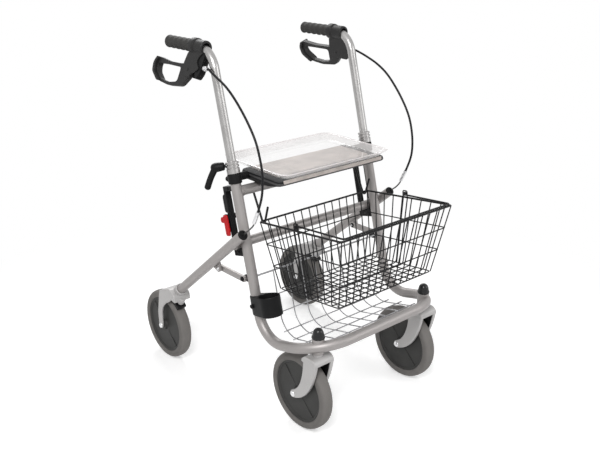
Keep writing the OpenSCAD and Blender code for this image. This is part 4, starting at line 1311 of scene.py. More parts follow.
@dataclass
class Casters:
    """The two steered front wheels with their forks."""

    trail_y: float = -239.275
    arm_t: float = 10.5

    def build(self) -> None:
        """Builds both casters."""
        for side in Side:
            self.fork(side)
            x, tag = side.value * PLAN.stem[0], side.tag
            at = shift(x, self.trail_y, PLAN.wheel_r) @ ALONG_X
            pin = axle_pin(Form(), at, PLAN.arm_x + self.arm_t)
            pin.piece(f"caster_axle_pin_{tag}", BRIGHT_PART, f"caster_{tag}",
                      [f"caster_axle_{tag}"])
            Wheel(x, self.trail_y, f"caster_hub_{tag}", f"caster_tyre_{tag}",
                  f"caster_wheel_{tag}").build()

    def fork(self, side: Side) -> None:
        """Cast fork: crown, two curved arms, bearing race, and thin black plates inside the arms
        that are painted shade.

        Args:
            side: Side that it is built for.
        """
        y, z, h = PLAN.stem[1], PLAN.crown_z, PLAN.crown_h
        wide = 2 * (PLAN.arm_x + self.arm_t) - PLAN.crown_inset
        at = shift(side.value * PLAN.stem[0], 0, 0)
        crown = [(-24, 3), (-22, h - 7), (-13, h), (14, h), (26, 8), (26, 0), (-23, 0)]
        edge = soften([(y + a, z + b) for a, b in crown], 5)
        form = Form().slab(edge, wide, at @ PLATE, 5.5, segments=5)
        arm = arm_outline((y - 2, z + 6), (y + 6, PLAN.wheel_r + 20), (self.trail_y, PLAN.wheel_r),
                          44, 20)
        for way in BOTH_WAYS:
            spot = at @ plate_at(way * (PLAN.arm_x + self.arm_t / 2))
            form.slab(arm, self.arm_t, spot, 3.0, segments=4)
        race = soften([(6.2, h - 1), (13, h - 1), (13, h + 4.4), (6.2, h + 4.4)], 1.4, 3)
        form.lathe(race, at @ shift(0, y, z), 40, ring=True)
        form.piece(f"caster_fork_casting_{side.tag}", CAST_SILVER, f"caster_{side.tag}",
                   [f"caster_fork_{side.tag}"])
        # Thin black plates inside both arms: painted shade where the inner faces of the arms lie in
        # shadow, not a real part.
        shade_plates = Form()
        inside = arm_outline((y - 1, z - 1), (y + 2, PLAN.wheel_r + 58),
                             (y + 13, PLAN.wheel_r + 48), 36, 24)
        for way in BOTH_WAYS:
            shade_plates.slab(inside, 1.2, at @ plate_at(way * (PLAN.arm_x - 0.4)), 0.4)
        shade_plates.piece(f"caster_fork_liner_{side.tag}", BLACK_MOULD, f"caster_{side.tag}")


@dataclass
class RearFrame:
    """The folding rear frame: legs, cross tube, forks, wheels, brake shoes, struts and latch."""

    body: str = "rear_frame"
    leg_front: float = 68.0
    leg_middle: float = 100.0
    leg_rear: float = 343.0
    knee: tuple[float, float] = (107.592, -21.1549)
    knee_lug_x: float = 241.1
    knee_bolt_x: float = 244.4
    knee_pin: tuple[float, float] = (226.0, 240.0)
    cross_inset: float = 6.0
    cross_weld_x: float = 238.0
    axle_at: tuple[float, float] = (252.0, 271.078)
    shoe_angle: float = 128.0
    shoe_r: float = 102.6
    shoe_pin: tuple[float, float] = (8.0, 29.0)
    strut_len: float = 93.6
    strut_eye: float = 9.0
    strut_waist: float = 7.8
    strut_neck: float = 12.0
    strut_tilt: float = 13.3
    strut_x: float = 232.5
    bush_x: float = 227.8
    latch_cheek_x: float = 230.3
    latch_bridge_x: float = 227.0

    def build(self) -> None:
        """Builds every piece of the rear frame."""
        self.tubes()
        self.latch()
        axles = Form()
        for side in Side:
            tag = side.tag
            self.fork(side)
            self.shoe(side)
            self.strut(side)
            x, y = side.value * self.axle_at[0], self.axle_at[1]
            axle_pin(axles, shift(x, y, PLAN.wheel_r) @ ALONG_X, PLAN.arm_x + PLAN.fork_t)
            Wheel(x, y, f"rear_hub_{tag}", f"rear_tyre_{tag}", f"rear_wheel_{tag}").build()
        axles.piece("rear_axle_pins", BRIGHT_PART, self.body, ["rear_axles"])

    def tubes(self) -> None:
        """Legs with their strut lugs, plugs in the leg ends and the sliding cross tube."""
        plugs = Form()
        at = PLAN.legs()
        k, drop = self.knee
        lug = [(k - 17, -9), (k + 17, -9), (k + 10, drop - 1), (k + 6, drop - 7.6), (k, drop - 9),
               (k - 6, drop - 7.6), (k - 10, drop - 1)]
        plug = [(0, 1.2), (6.2, 1.2), (6.8, 2.2), (7.4, 3.6), (9.8, 4), (11.4, 3.2), (12.4, 1.2),
                (12.5, 0), (10.4, 0), (10.4, -14), (0, -14)]
        path = [(PLAN.leg_x, y, 0) for y in (-self.leg_front, self.leg_middle, self.leg_rear)]
        head = at @ shift(self.knee_bolt_x, k, drop) @ ALONG_X
        for side in Side:
            leg = Form().tube(path, PLAN.leg_r, at, sides=40)
            leg.slab(soften(lug, 3), 7, at @ plate_at(self.knee_lug_x), 1.5)
            leg.piece(f"rear_leg_tube_{side.tag}", SILVER_PAINT, self.body,
                      [f"rear_leg_{side.tag}"], side)
            bolt = Form().lathe(bolt_head(4.6, 3.6), head, 24)
            bolt.tube([(x, k, drop) for x in self.knee_pin], 2.9, at, sides=20)
            bolt.piece(f"knee_bolt_{side.tag}", ZINC_STEEL, self.body, (), side)
            end = at @ shift(side.value * PLAN.leg_x, -self.leg_front, 0) @ turn("X", 90)
            plugs.lathe(soften(plug, 0.6, 3, closed=False), end, 40)
        plugs.piece("leg_end_plugs", BLACK_MOULD, self.body, ["leg_plugs"])
        cross = Form().tube(crossbar(PLAN.leg_x - self.cross_inset), PLAN.cross_r, at, sides=36)
        bead = [(11.4, -1.6), (13.3, -1), (13.4, 0.6), (12, 2)]
        for way in BOTH_WAYS:
            cross.lathe(bead, at @ shift(way * self.cross_weld_x, 0, 0) @ ALONG_X, 36, ring=True)
        cross.piece("sliding_cross_tube", SILVER_PAINT, self.body, ["rear_cross_tube"])

    def fork(self, side: Side) -> None:
        """Cast rear fork: body, leg socket, brake boss and two slim arms.

        Args:
            side: Side that it is built for.
        """
        x, y = self.axle_at
        top = 2 * PLAN.wheel_r
        crown = [(-86, 0), (-82, 22), (-58, 34), (-26, 24), (-2, 12), (-2, 6), (-26, 2), (-50, -2),
                 (-57, 5), (-66, 3)]
        edge = soften([(y + a, top + b) for a, b in crown], 7, 5)
        wide = 2 * (PLAN.arm_x + PLAN.fork_t) - PLAN.crown_inset
        form = Form().slab(edge, wide, plate_at(x), 4.0, segments=5)
        horn = [(9, -4), (11, 40), (2, 85), (-3, 110), (-26, 122), (-56, 131), (-66, 106),
                (-52, 92), (-36, 84), (-19, 68), (-10, 48), (-9, -4), (0, -10)]
        arm = soften([(y + a, PLAN.wheel_r + b) for a, b in horn], 8, 5)
        for way in BOTH_WAYS:
            spot = plate_at(x + way * (PLAN.arm_x + PLAN.fork_t / 2))
            form.slab(arm, PLAN.fork_t, spot, 2.2, segments=4)
        socket = soften([(12.5, -30), (16.5, -30), (16.5, 4), (12.5, 4)], 1.6, 3)
        leg_end = PLAN.legs() @ shift(PLAN.leg_x, self.leg_rear, 0)
        form.lathe(socket, leg_end @ ALONG_Y, 40, ring=True)
        boss = soften([(0, 0), (9, 0), (9, 22), (0, 22)], 1.6, 3, closed=False)
        form.lathe(boss, self.on_shoe() @ shift(0, self.shoe_r + 14.6, 0) @ ALONG_Y, 32)
        form.piece(f"rear_fork_casting_{side.tag}", CAST_SILVER, self.body,
                   [f"rear_fork_{side.tag}"], side)

    def on_shoe(self) -> Matrix:
        """Frame of the left brake shoe: y from the axle through the shoe."""
        return shift(self.axle_at[0], self.axle_at[1], PLAN.wheel_r) @ turn("X", self.shoe_angle)

    def shoe(self, side: Side) -> None:
        """Brake shoe and its pin.

        Args:
            side: Side that it is built for.
        """
        at = self.on_shoe()
        form = Form().block((28, 12, 28), at @ shift(0, self.shoe_r + 6, 0), 2.2)
        form.tube([(0, self.shoe_r + y, 0) for y in self.shoe_pin], 3.9, at, sides=24)
        form.pair_piece("brake_shoe_block", BLACK_MOULD, side, "brake_shoe", "brake_shoe")

    def strut(self, side: Side) -> None:
        """Flat strut with round eyes and black bushes.

        Args:
            side: Side that it is built for.
        """
        at = PLAN.uprights() @ shift(0, *PLAN.strut_pivot) @ turn("X", self.strut_tilt)
        length, eye = self.strut_len, self.strut_eye
        waist, neck = self.strut_waist, self.strut_neck
        outline = arc((0, 0), (0, eye), (-eye, 0), 30, 150, 8)
        outline += [Vector((neck, -waist)), Vector((length - neck, -waist))]
        outline += arc((length, 0), (0, -eye), (eye, 0), 30, 150, 8)
        outline += [Vector((length - neck, waist)), Vector((neck, waist))]
        form = Form().slab(outline, 7.4, at @ plate_at(self.strut_x), 1.0)
        form.pair_piece("strut_bar", SILVER_PAINT, side, "strut", "strut")
        bushes = Form()
        bush = soften([(3.06, 0), (6.6, 0), (6.6, 9.4), (3.06, 9.4)], 0.6, 2)
        for y in (0, length):
            bushes.lathe(bush, at @ shift(self.bush_x, y, 0) @ ALONG_X, 28, ring=True)
        bushes.pair_piece("strut_bushes", BLACK_MOULD, side, "strut")

    def latch(self) -> None:
        """Red latch on the right guide, with a thumb tab to the rear."""
        edge = [(54.4, 276), (66.4, 276), (66.4, 299), (80, 299), (88, 300), (90, 307), (87, 314),
                (80, 314.5), (66.4, 314), (66, 320), (60.4, 322), (55, 320), (54.4, 316)]
        cheek = [(47.6, 268.2), (66.2, 268.2), (66.2, 321.8), (47.6, 321.8)]
        at, x = PLAN.uprights(), PLAN.guide_x
        form = Form().slab(soften(edge, 3.2), PLAN.guide_w, at @ plate_at(x), 2.0)
        form.block((8, 9.5, 9), at @ shift(x, 50.5, 281.5), 1.2)
        form.slab(soften(cheek, 6), 3, at @ plate_at(self.latch_cheek_x), 1.2)
        form.block((5.4, 11, 30), at @ shift(self.latch_bridge_x, 60.4, 291.6), 0.6)
        form.piece("red_fold_latch", RED_MOULD, "latch", ["lock_latch"], Side.RIGHT)


@dataclass
class Handles:
    """Push tubes, grips, brakes and the levers that clamp the height."""

    bend_r: float = 60.0
    bend_s: float = 669.63
    bend_run: float = 46.4
    insert: float = 190.0
    straight_s: float = 560.0
    reach: float = 180.0
    grip_front: float = 74.0
    grip_len: float = 106.0
    grip_r: float = 15.5
    ribs: int = 5
    cheek_x: float = 8.2
    cheek_t: float = 3.6
    adjuster_z: float = -47.0
    lever_s: float = 443.0

    def build(self) -> None:
        """Builds both handles."""
        for side in Side:
            self.push_tube(side)
            self.grip(side)
            self.housing(side)
            self.lever(side)
            self.clamp_lever(side)

    def push_tube(self, side: Side) -> None:
        """Bright bent push tube.

        Args:
            side: Side that it is built for.
        """
        x, r, s = PLAN.half_w, self.bend_r, self.bend_s
        turn_by = 90 - PLAN.lean
        path = [Vector((x, 0, PLAN.upright_h - self.insert)), Vector((x, 0, self.straight_s))]
        path += arc((x, r, s), (0, -r, 0), (0, 0, r), 0, turn_by, 18)
        level = Vector((0, math.cos(math.radians(PLAN.lean)), math.sin(math.radians(PLAN.lean))))
        path.append(path[-1] + level * (self.reach - self.bend_run))
        form = Form().tube(path, PLAN.push_r, PLAN.uprights(), sides=40)
        form.pair_piece("push_tube_bent", PUSH_ALLOY, side, "handle", "push_tube")

    def grip(self, side: Side) -> None:
        """Soft grip with finger ribs below and a rounded end.

        Args:
            side: Side that it is built for.
        """
        length, r = self.grip_len, self.grip_r
        steps = 60
        path = [(0, length * i / steps, 0) for i in range(steps + 1)]
        path += [(0, length + 1.6, 0), (0, length + 2.6, 0), (0, length + 3.0, 0)]
        ends = {steps + 1: r - 0.9, steps + 2: r - 2.2, steps + 3: r - 4.2, 0: r - 1.4, 1: r - 0.5}

        def radius(share: float) -> float:
            """Radius of the grip before its ribs are pressed in."""
            index = round(share * (steps + 3))
            return ends.get(index, r)

        def ribbed(point: Vector) -> Vector:
            """Presses hollows for the fingers into the underside.

            Args:
                point: Point of the smooth grip.

            Returns:
                The point after the press.
            """
            below = max(0.0, -point.z / r)
            wave = 0.5 - 0.5 * math.cos(math.tau * self.ribs * point.y / length)
            if not 0 < point.y < length:
                wave = 0.0
            depth = (0.9 + 2.2 * below) * wave
            flat = math.hypot(point.x, point.z)
            share = (flat - depth) / flat if flat > 12 else 1.0
            return Vector((point.x * share, point.y, point.z * share))

        at = shift(PLAN.half_w, PLAN.corner[0] + self.grip_front, PLAN.corner[1])
        form = Form().tube(path, radius, sides=48).shape(ribbed).place(at)
        form.pair_piece("soft_grip", GRIP_SKIN, side, "handle", "hand_grip")

    def housing(self, side: Side) -> None:
        """Brake housing: ring and hood round the push tube, two cheeks, a black core between them
        whose darker black is painted shade, cable adjuster.

        Args:
            side: Side that it is built for.
        """
        at = PLAN.brake()
        ring = [(11.5, 20), (15.2, 20), (16.8, 21.4), (17, 24), (17, 52), (18, 54.4), (19.6, 56),
                (20, 58), (20, 71), (19.2, 73), (18, 73.6), (11.5, 73.6)]
        form = Form().lathe(ring, at @ ALONG_Y, 48, ring=True)
        back = [(67.6, -12), (76, -18), (84, -46), (70, -74)]
        outer = [(14, -12), *back, (50, -76), (45, -66), (24, -57), (18, -50), (32, -36), (28, -26)]
        inner = [(8, -12), *back, (22, -76), (12, -60)]
        face = self.cheek_x + self.cheek_t / 2
        for way, cheek in zip(BOTH_WAYS, (inner, outer)):
            form.slab(soften(cheek, 5), self.cheek_t, at @ plate_at(way * self.cheek_x), 1.4)
            spot = at @ shift(way * face, 62, -58) @ turn("Y", 90 * way)
            form.lathe(bolt_head(3.6, 1.8), spot, 24)
        # The core between the cheeks is the housing's own plastic, coloured darker black as painted
        # shade in the recess.
        edge = [(9, -11), (68, -11), (75, -18), (80, -35), (41, -35), (35, -59), (28, -75),
                (22, -75), (13, -60)]
        shaded_core = Form().slab(soften(edge, 3), 14, at @ PLATE, 0.8)
        shaded_core.pair_piece("brake_housing_core", BLACK_MOULD, side, "handle")
        form.pair_piece("brake_housing_moulding", BRAKE_MOULD, side, "handle", "brake_housing")
        barrel = [(2.6, -6), (3.8, -6), (4.4, -5.2), (4.4, 1), (6.4, 1.6), (6.8, 2.6), (6.8, 6.4),
                  (6.4, 7.4), (4.5, 8), (4.5, 13), (2.6, 13)]
        adjuster = Form().lathe(barrel, at @ shift(0, 0, self.adjuster_z) @ ALONG_Y, 18, ring=True)
        adjuster.pair_piece("cable_adjuster", BRIGHT_PART, side, "handle")

    def lever(self, side: Side) -> None:
        """Brake lever: a loop with thin bars and a wide curved rear band.

        Args:
            side: Side that it is built for.
        """
        at = PLAN.brake()
        edge = [(52, -46), (70, -42), (94, -47), (148, -48), (202, -42), (213, -58), (211, -80),
                (180, -101), (134, -106), (78, -100), (52, -72)]
        window = [(96, -56), (170, -56), (200, -58), (199, -77), (174, -95), (134, -98), (100, -92)]
        band = [(196, -45), (203, -41), (214, -59), (211, -81), (181, -102), (174, -98), (202, -78),
                (206, -61)]
        form = Form().slab(soften(edge, 10), 12, at @ PLATE, 3.0, soften(window, 8))
        form.slab(soften(band, 7, 5), 26, at @ PLATE, 2.0)
        form.pair_piece("brake_lever_loop", BRAKE_MOULD, side, "brake_lever", "brake_lever")

    def clamp_lever(self, side: Side) -> None:
        """Black lever that clamps the height: hub, elbow and tapered arm.

        Args:
            side: Side that it is built for.
        """
        at = PLAN.uprights() @ shift(PLAN.half_w, 0, self.lever_s) @ turn("Z", 45)
        hub = [(0, 16.4), (4, 16.4), (4, 19), (8, 19.6), (9.8, 21.4), (10.4, 27), (11.2, 34),
               (11.4, 40), (10.6, 45.4), (8.2, 49.8), (4.2, 52.4), (0, 53)]
        form = Form().lathe(hub, at @ ALONG_X, 32)
        path = spline([(40, 0, -1), (47, 0, -8), (58, 0, -24), (69, 0, -44)], 6)
        form.tube(path, lambda u: 9.0 - 3.4 * u + 2.2 * u * u, at, sides=24, dome=6.2)
        form.pair_piece("clamp_lever_arm", BLACK_MOULD, side, "clamp_lever", "clamp_lever")


@dataclass
class Cables:
    """The brake cables with their ferrules and bare inner wires."""

    sheath_r: float = 2.8
    wire_r: float = 1.9
    ferrule_way: tuple[float, float, float] = (0.0, -16.0, 32.0)
    ferrule_low: tuple[float, float, float] = (248.0, -142.698, 524.018)
    plug_face: tuple[float, float, float] = (251.0, -104.698, 486.018)
    top: tuple[float, float, float] = (237.075, 36.0817, 853.226)
    low: tuple[float, float, float] = (248.0, -159.423, 557.469)

    def route(self) -> list[Vector]:
        """Middle line of the left sheath from the brake to the ferrule.

        Returns:
            The points from the brake down.
        """
        drawn = [(237, 36, 853), (237.6, 30, 852.4), (240, 16, 848), (242, -5, 841),
                 (244, -43, 826), (246, -80, 803), (246, -118, 767), (246, -149, 728),
                 (247, -166, 694), (247, -176, 655), (248, -177, 620), (248, -172, 593),
                 (248, -159, 560)]
        last = len(drawn) - 1
        first, end = Vector(self.top) - Vector(drawn[0]), Vector(self.low) - Vector(drawn[-1])
        moved = [Vector(p) + first * (1 - i / last) + end * (i / last) for i, p in enumerate(drawn)]
        return spline(moved, 5)

    def build(self) -> None:
        """Builds both cables."""
        for side in Side:
            self.sheath(side)
            self.end(side)

    def at(self, point: Flat, side: Side) -> tuple[float, float, float]:
        """A left point on a side, in metres."""
        return (side.value * point[0] * MM, point[1] * MM, point[2] * MM)

    def sheath(self, side: Side) -> None:
        """Sheathed cable from the brake down to the ferrule.

        Args:
            side: Side that it is built for.
        """
        made = Form().tube(self.route(), self.sheath_r, sides=14).piece(
            f"brake_cable_sheath_{side.tag}", SHEATH, "", [f"brake_cable_{side.tag}"], side)
        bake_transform(made)

    def end(self, side: Side) -> None:
        """Ferrule and inner wire down to the plug of the rear leg.

        Args:
            side: Side that it is built for.
        """
        low, face = Vector(self.ferrule_low), Vector(self.plug_face)
        way = Vector(self.ferrule_way).normalized()
        fall = math.radians(PLAN.leg_angle + PLAN.lean)
        leg = Vector((0, math.cos(fall), -math.sin(fall)))
        turned = way.to_track_quat("Z", "Y").to_matrix().to_4x4()
        turned.translation = low
        barrel = [(0, 0), (3.2, 0), (4.2, 1), (4.5, 3), (4.5, 24), (3.9, 25), (3.9, 27), (4.5, 28),
                  (4.4, 34), (3.4, 37), (0, 37)]
        made = Form().lathe(barrel, turned, 28).piece(
            f"brake_cable_end_{side.tag}", BRIGHT_PART, "", [f"cable_end_{side.tag}"], side)
        path = [low + way, low - way * 8, face - leg * 28 - Vector((0.6, 0, 0.6)), face - leg * 12,
                face - leg * 0.4]
        wire = Form().tube(spline(path, 5), self.wire_r, sides=12).piece(
            f"brake_cable_wire_{side.tag}", DARK_WIRE, "", (), side)
        for part in (made, wire):
            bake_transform(part)


@dataclass
class SeatAndTray:
    """The hinged seat with its pad, and the clear tray on it."""

    width: float = 352.0
    front: float = -148.722
    rear: float = 3.278
    thick: float = 22.0
    corner_r: float = 14.0
    pad_w: float = 304.0
    pad_depth: float = 110.0
    pad_back: float = 35.0
    pad_corner_r: float = 10.0
    pad_t: float = 3.0
    lip_inset: float = 26.0
    tray_w: float = 358.0
    tray_depth: float = 250.0
    tray_h: float = 17.0
    tray_front: float = -169.722

    def build(self) -> None:
        """Builds the seat, its pad and the tray."""
        self.shell()
        self.pad()
        self.tray()

    def shell(self) -> None:
        """Seat shell with its hinge barrel, bumpers and an edge stripe whose lighter grey is a
        painted highlight.
        """
        low = PLAN.seat_top - self.pad_t - self.thick
        cuts = [(0, 48, 14, 5), (0.6, 46, 12, 2.4), (2.4, 36, 11, 0.8), (6, 20, 8, 0.2),
                (10, 3.4, 2.2, 0), (11.4, 0.8, 1.2, 0), (13, 0, 0.3, 0), (19, 0, 0, 0),
                (21, 0.6, 0.6, 0.6), (22, 2.4, 2.4, 2.4)]
        loops = []
        for up, ahead, behind, side in cuts:
            rear, front, wide = self.rear - behind, self.front + ahead, self.width - 2 * side
            centre = (0, (rear + front) / 2)
            loops.append(rounded_rect(wide, rear - front, self.corner_r, centre, low + up))
        form = Form().loft(loops)
        half = self.width / 2
        barrel = soften([(0, -half), (8.8, -half), (8.8, half), (0, half)], 1.5, 3, closed=False)
        form.lathe(barrel, shift(0, *PLAN.hinge) @ ALONG_X, 36)
        foot = [(0, -3.4), (7.6, -3.4), (9, -2), (9, 1), (0, 1)]
        for way in BOTH_WAYS:
            form.lathe(foot, shift(way * self.width / 3, PLAN.rail_at[0], low), 28)
        form.piece("seat_shell_moulding", SEAT_MOULD, "seat", ["seat_shell"])
        # Proud stripe round the shell in a lighter grey, which paints the highlight along its side.
        proud = [(12.4, -1.0), (12.8, 0.5), (13.4, 0.7), (16.6, 0.7), (17.2, 0.5), (17.6, -1.0)]
        w, d, r = self.width, self.rear - self.front, self.corner_r
        centre = (0, (self.rear + self.front) / 2)
        loops = [rounded_rect(w + 2 * out, d + 2 * out, r, centre, low + up) for up, out in proud]
        Form().loft(loops).piece("seat_edge_stripe", SEAT_HIGHLIGHT_GREY, "seat")

    def pad(self) -> None:
        """Pad of the seat with a softened rim."""
        centre, z = (0, PLAN.hinge[0] - self.pad_back), PLAN.seat_top - self.pad_t
        rounded = [(-0.2, 0), (1.4, 0), (2.2, -0.4), (2.7, -1.2), (2.95, -2.6), (3.0, -5)]
        w, d, r = self.pad_w, self.pad_depth, self.pad_corner_r
        loops = [rounded_rect(w + 2 * out, d + 2 * out, r, centre, z + up) for up, out in rounded]
        Form().loft(loops).piece("seat_pad_sheet", PAD_SKIN, "seat", ["seat_pad"])
        w, centre = self.width - self.lip_inset, (0, self.front + 0.7)
        lip = [rounded_rect(w + out, 3, 1.4, centre, z + up)
               for up, out in ((-6.8, -2), (-6.2, 0), (0.6, 0), (1.3, -2))]
        Form().loft(lip).piece("seat_front_lip", PAD_SKIN, "seat")

    def tray(self) -> None:
        """Clear tray: floor, flared walls and a rolled rim."""
        z, y = PLAN.seat_top + 0.4, self.tray_front + self.tray_depth / 2
        w, d, h = self.tray_w, self.tray_depth, self.tray_h
        outer = [(22, 0, 22), (18.5, 0.3, 23), (16.5, 1.6, 24), (14.6, 4, 25), (6, h - 3.4, 28),
                 (3.4, h - 2.2, 29), (0.8, h - 1.8, 30), (0, h - 0.9, 30), (0.8, h, 30)]
        inner = [(4, h - 0.1, 29), (6.4, h - 1.0, 28), (8.4, h - 3.2, 27), (16.6, 5.2, 24),
                 (18.4, 3.6, 23), (21, 2.8, 22), (24, 2.6, 21)]
        loops = [rounded_rect(w - 2 * i, d - 2 * i, r, (0, y), z + up)
                 for i, up, r in outer + inner]
        Form().loft(loops).piece("clear_tray", CLEAR, "tray", ["tray"], sharp=60)


@dataclass
class Basket:
    """The lift-out wire basket and its bail."""

    width: float = 368.0
    depth: float = 289.0
    height: float = 174.0
    taper: float = 25.0
    front_taper: float = 53.0
    wire_r: float = 1.5
    rim_r: float = 2.5
    fronts: int = 13
    sides: int = 8
    floor_drop: float = 2.4
    wire_bend_r: float = 9.0
    corner_r: float = 10.0
    ring_levels: tuple[float, float] = (0.33, 0.66)
    ring_corner_r: float = 6.0
    ear_half: float = 7.0
    ear_top: float = 17.0
    bail_y: float = -138.142
    bail_z: float = 9.0
    bail_r: float = 2.25
    bail_inset: float = 7.0
    bail_rest: float = 5.15

    def build(self) -> None:
        """Builds the basket and its bail."""
        self.wires()
        self.rim()
        self.bail()

    def ring(self, half: float, back: float, front: float, z: float) -> list[Flat]:
        """Corners of a level ring of wire."""
        return [(half, back, z), (-half, back, z), (-half, front, z), (half, front, z)]

    def wires(self) -> None:
        """Wires that run down one wall, under the floor and up the other."""
        at, half = PLAN.basket(), self.width / 2
        inner, bend = half - self.taper, self.wire_bend_r
        back, front, low = -self.taper, self.front_taper - self.depth, -self.height
        along = Form()
        middle, floor = (self.fronts - 1) / 2, low - self.floor_drop
        for i in range(self.fronts):
            x = (i - middle) * self.width / (self.fronts + 1)
            foot = x * (1 - self.taper / half)
            path = [(x, -self.depth, 0), (foot, front, floor), (foot, back, floor), (x, 0, 0)]
            along.tube(soften(path, bend, 4, closed=False), self.wire_r, at, sides=8)
        along.piece("basket_long_wires", BLACK_COAT, "basket", ["basket_front", "basket_rear"])
        across = Form()
        for i in range(1, self.sides + 1):
            u = i / (self.sides + 1)
            y, foot = -u * self.depth, back + u * (front - back)
            path = [(half, y, 0), (inner, foot, low), (-inner, foot, low), (-half, y, 0)]
            across.tube(soften(path, bend, 4, closed=False), self.wire_r, at, sides=8)
        edge = soften(self.ring(inner, back, front, low), self.corner_r, 4)
        across.tube(edge, self.wire_r, at, sides=8, loop=True)
        for way in BOTH_WAYS:
            for y, foot in ((0, back), (-self.depth, front)):
                path = [(way * (half - 1), y * 0.997 - 0.5, 0), (way * (inner - 1), foot, low)]
                across.tube(path, self.wire_r, at, sides=8)
        across.piece("basket_cross_wires", BLACK_COAT, "basket", ["basket_sides", "basket_floor"])

    def rim(self) -> None:
        """Rim, rings round the walls, and the ears with eyelets for the bail."""
        at, half = PLAN.basket(), self.width / 2
        form = Form()
        rim = soften(self.ring(half, 0, -self.depth, 0), self.corner_r, 6)
        form.tube(rim, self.rim_r, at, sides=14, loop=True)
        for level in self.ring_levels:
            back = -level * self.taper + self.wire_r
            front = level * self.front_taper - self.depth - self.wire_r
            ring = self.ring(half + back, back, front, -level * self.height)
            form.tube(soften(ring, self.ring_corner_r, 5), self.wire_r, at, sides=10, loop=True)
        eyelet = soften([(2.31, -2.5), (5.3, -2.5), (5.3, 2.5), (2.31, 2.5)], 0.8, 2)
        for way in BOTH_WAYS:
            ear = []
            for end in BOTH_WAYS:
                y = self.bail_y + end * self.ear_half
                foot = -self.taper - y / self.depth * (self.front_taper + self.taper - self.depth)
                leg = [(way * (half - self.taper), foot, -self.height), (way * half, y, -3),
                       (way * half, y, self.ear_top)]
                ear += leg if end < 0 else leg[::-1]
            form.tube(soften(ear, 4, 4, closed=False), self.wire_r + 0.2, at, sides=10)
            eye = at @ shift(way * half, self.bail_y, self.bail_z)
            form.lathe(eyelet, eye @ ALONG_X, 24, ring=True)
        form.piece("basket_rim_and_rings", BLACK_COAT, "basket")

    def bail(self) -> None:
        """Carrying bail, folded down onto the front rim."""
        x, y, z = self.width / 2 - self.bail_inset, self.bail_y, self.bail_z
        half = [(self.width / 2 + 4, y, z), (x, y, z), (x, y - 9, z - 0.3),
                (x, -self.depth, self.bail_rest)]
        path = half + [(-p[0], p[1], p[2]) for p in reversed(half)]
        bent = soften(path, 8, 5, closed=False)
        form = Form().tube(bent, self.bail_r, PLAN.basket(), sides=14, dome=1.0)
        form.piece("basket_bail_wire", BLACK_COAT, "bail", ["basket_bail"])


@dataclass(frozen=True)
class Lamp:
    """A soft square lamp: its place and size in metres, its strength in watts."""

    name: str
    spot: tuple[float, float, float]
    watts: float
    size: float


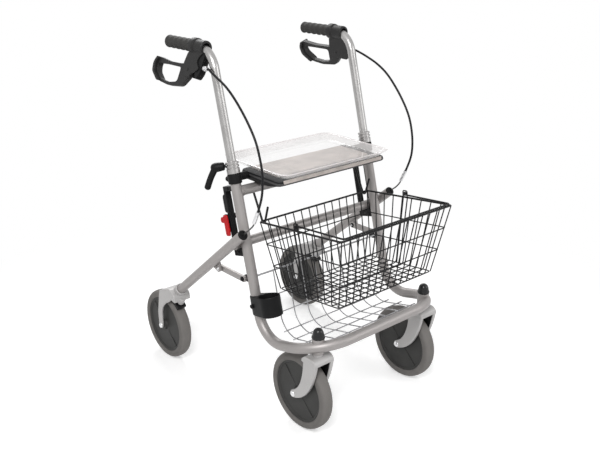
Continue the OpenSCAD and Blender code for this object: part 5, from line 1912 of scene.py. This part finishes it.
@dataclass
class Studio:
    """White studio: floor, soft lamps, sky and the camera of the photograph."""

    lamps: tuple[Lamp, ...] = (Lamp("key_lamp", (-1.9, -1.6, 2.5), 60.0, 1.0),
                               Lamp("fill_lamp", (1.6, -2.4, 1.6), 16.0, 1.4),
                               Lamp("rim_lamp", (0.8, 2.2, 2.2), 34.0, 1.2))
    lamp_target: tuple[float, float, float] = (0.0, 0.0, 0.45)
    camera_at: tuple[float, float, float] = (-1.242, -1.469, 1.158)
    target: tuple[float, float, float] = (0.023, 0.011, 0.408)
    lens: float = 46.15
    sensor: float = 36.0
    sky: float = 0.36
    floor_size: float = 12.0
    floor_colour: Colour = (0.86, 0.86, 0.86)
    floor_glow: float = 0.4
    fade: tuple[float, float] = (0.6, 1.3)

    def build(self) -> None:
        """Builds the studio."""
        self.camera()
        self.floor()
        self.light()

    def camera(self) -> None:
        """Camera at the photograph's angle."""
        data = bpy.data.cameras.new("photo_camera")
        data.sensor_fit = "HORIZONTAL"
        data.sensor_width = self.sensor
        data.lens = self.lens
        camera = put("photo_camera", data)
        camera.matrix_world = aimed(self.camera_at, self.target)
        bpy.context.scene.camera = camera

    def seen(self, graph: Graph) -> Socket:
        """1 for rays that show the background itself, 0 for light that falls on things.

        Args:
            graph: Graph of the floor or the sky.

        Returns:
            The share as a value.
        """
        kinds = ("Is Camera Ray", "Is Glossy Ray", "Is Transmission Ray")
        first, second, third = (graph.node("ShaderNodeLightPath", out=kind) for kind in kinds)
        return (first + second + third).ramp(0.0, 1.0)

    def floor(self) -> None:
        """Pale floor that keeps the shadow and fades to white."""
        bm = bmesh.new()
        bmesh.ops.create_grid(bm, x_segments=1, y_segments=1, size=self.floor_size)
        mesh = mesh_of(bm, "studio_floor")
        material = bpy.data.materials.new("studio_floor")
        material.use_nodes = True
        graph = Graph(material.node_tree)
        diffuse = graph.node("ShaderNodeBsdfDiffuse", None, {"Color": (*self.floor_colour, 1)})
        strength = self.seen(graph) * self.floor_glow
        glow = graph.node("ShaderNodeEmission", None, {"Strength": strength})
        both = graph.node("ShaderNodeAddShader", None, {0: diffuse, 1: glow})
        white = graph.node("ShaderNodeEmission", None, {"Strength": 1.0})
        far = graph.reach(graph.place(), "XY").ramp(*self.fade)
        mixed = {0: far * self.seen(graph), 1: both, 2: white}
        ground = graph.node("ShaderNodeMixShader", None, mixed)
        graph.node("ShaderNodeOutputMaterial", None, {"Surface": ground})
        mesh.materials.append(material)
        floor = put("studio_floor", mesh)

    def light(self) -> None:
        """White sky and three soft lamps."""
        world = bpy.data.worlds.new("studio_sky")
        world.use_nodes = True
        graph = Graph(world.node_tree)
        strength = self.sky + self.seen(graph) * (1 - self.sky)
        backdrop = {"Color": (1, 1, 1, 1), "Strength": strength}
        sky = graph.node("ShaderNodeBackground", None, backdrop)
        graph.node("ShaderNodeOutputWorld", None, {"Surface": sky})
        bpy.context.scene.world = world
        for lamp in self.lamps:
            data = bpy.data.lights.new(lamp.name, "AREA")
            data.energy = lamp.watts
            data.size = lamp.size
            put(lamp.name, data).matrix_world = aimed(lamp.spot, self.lamp_target)
        bpy.context.scene.view_settings.view_transform = "Standard"


def corners(box: tuple[Vector, Vector]) -> list[list[float]]:
    """A box as plain lists of numbers."""
    return [[float(v) for v in corner] for corner in box]


def main() -> None:
    """Builds the walking frame round its solids and sets it in the studio."""
    logging.basicConfig(level=logging.INFO, format="%(name)s: %(message)s")
    for unwanted in list(bpy.data.objects):
        bpy.data.objects.remove(unwanted)
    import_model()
    for kind in (Studio, FrontFrame, Casters, RearFrame, Handles, Cables, SeatAndTray, Basket):
        LOG.info("building %s", kind.__name__)
        kind().build()


if __name__ == "__main__":
    main()
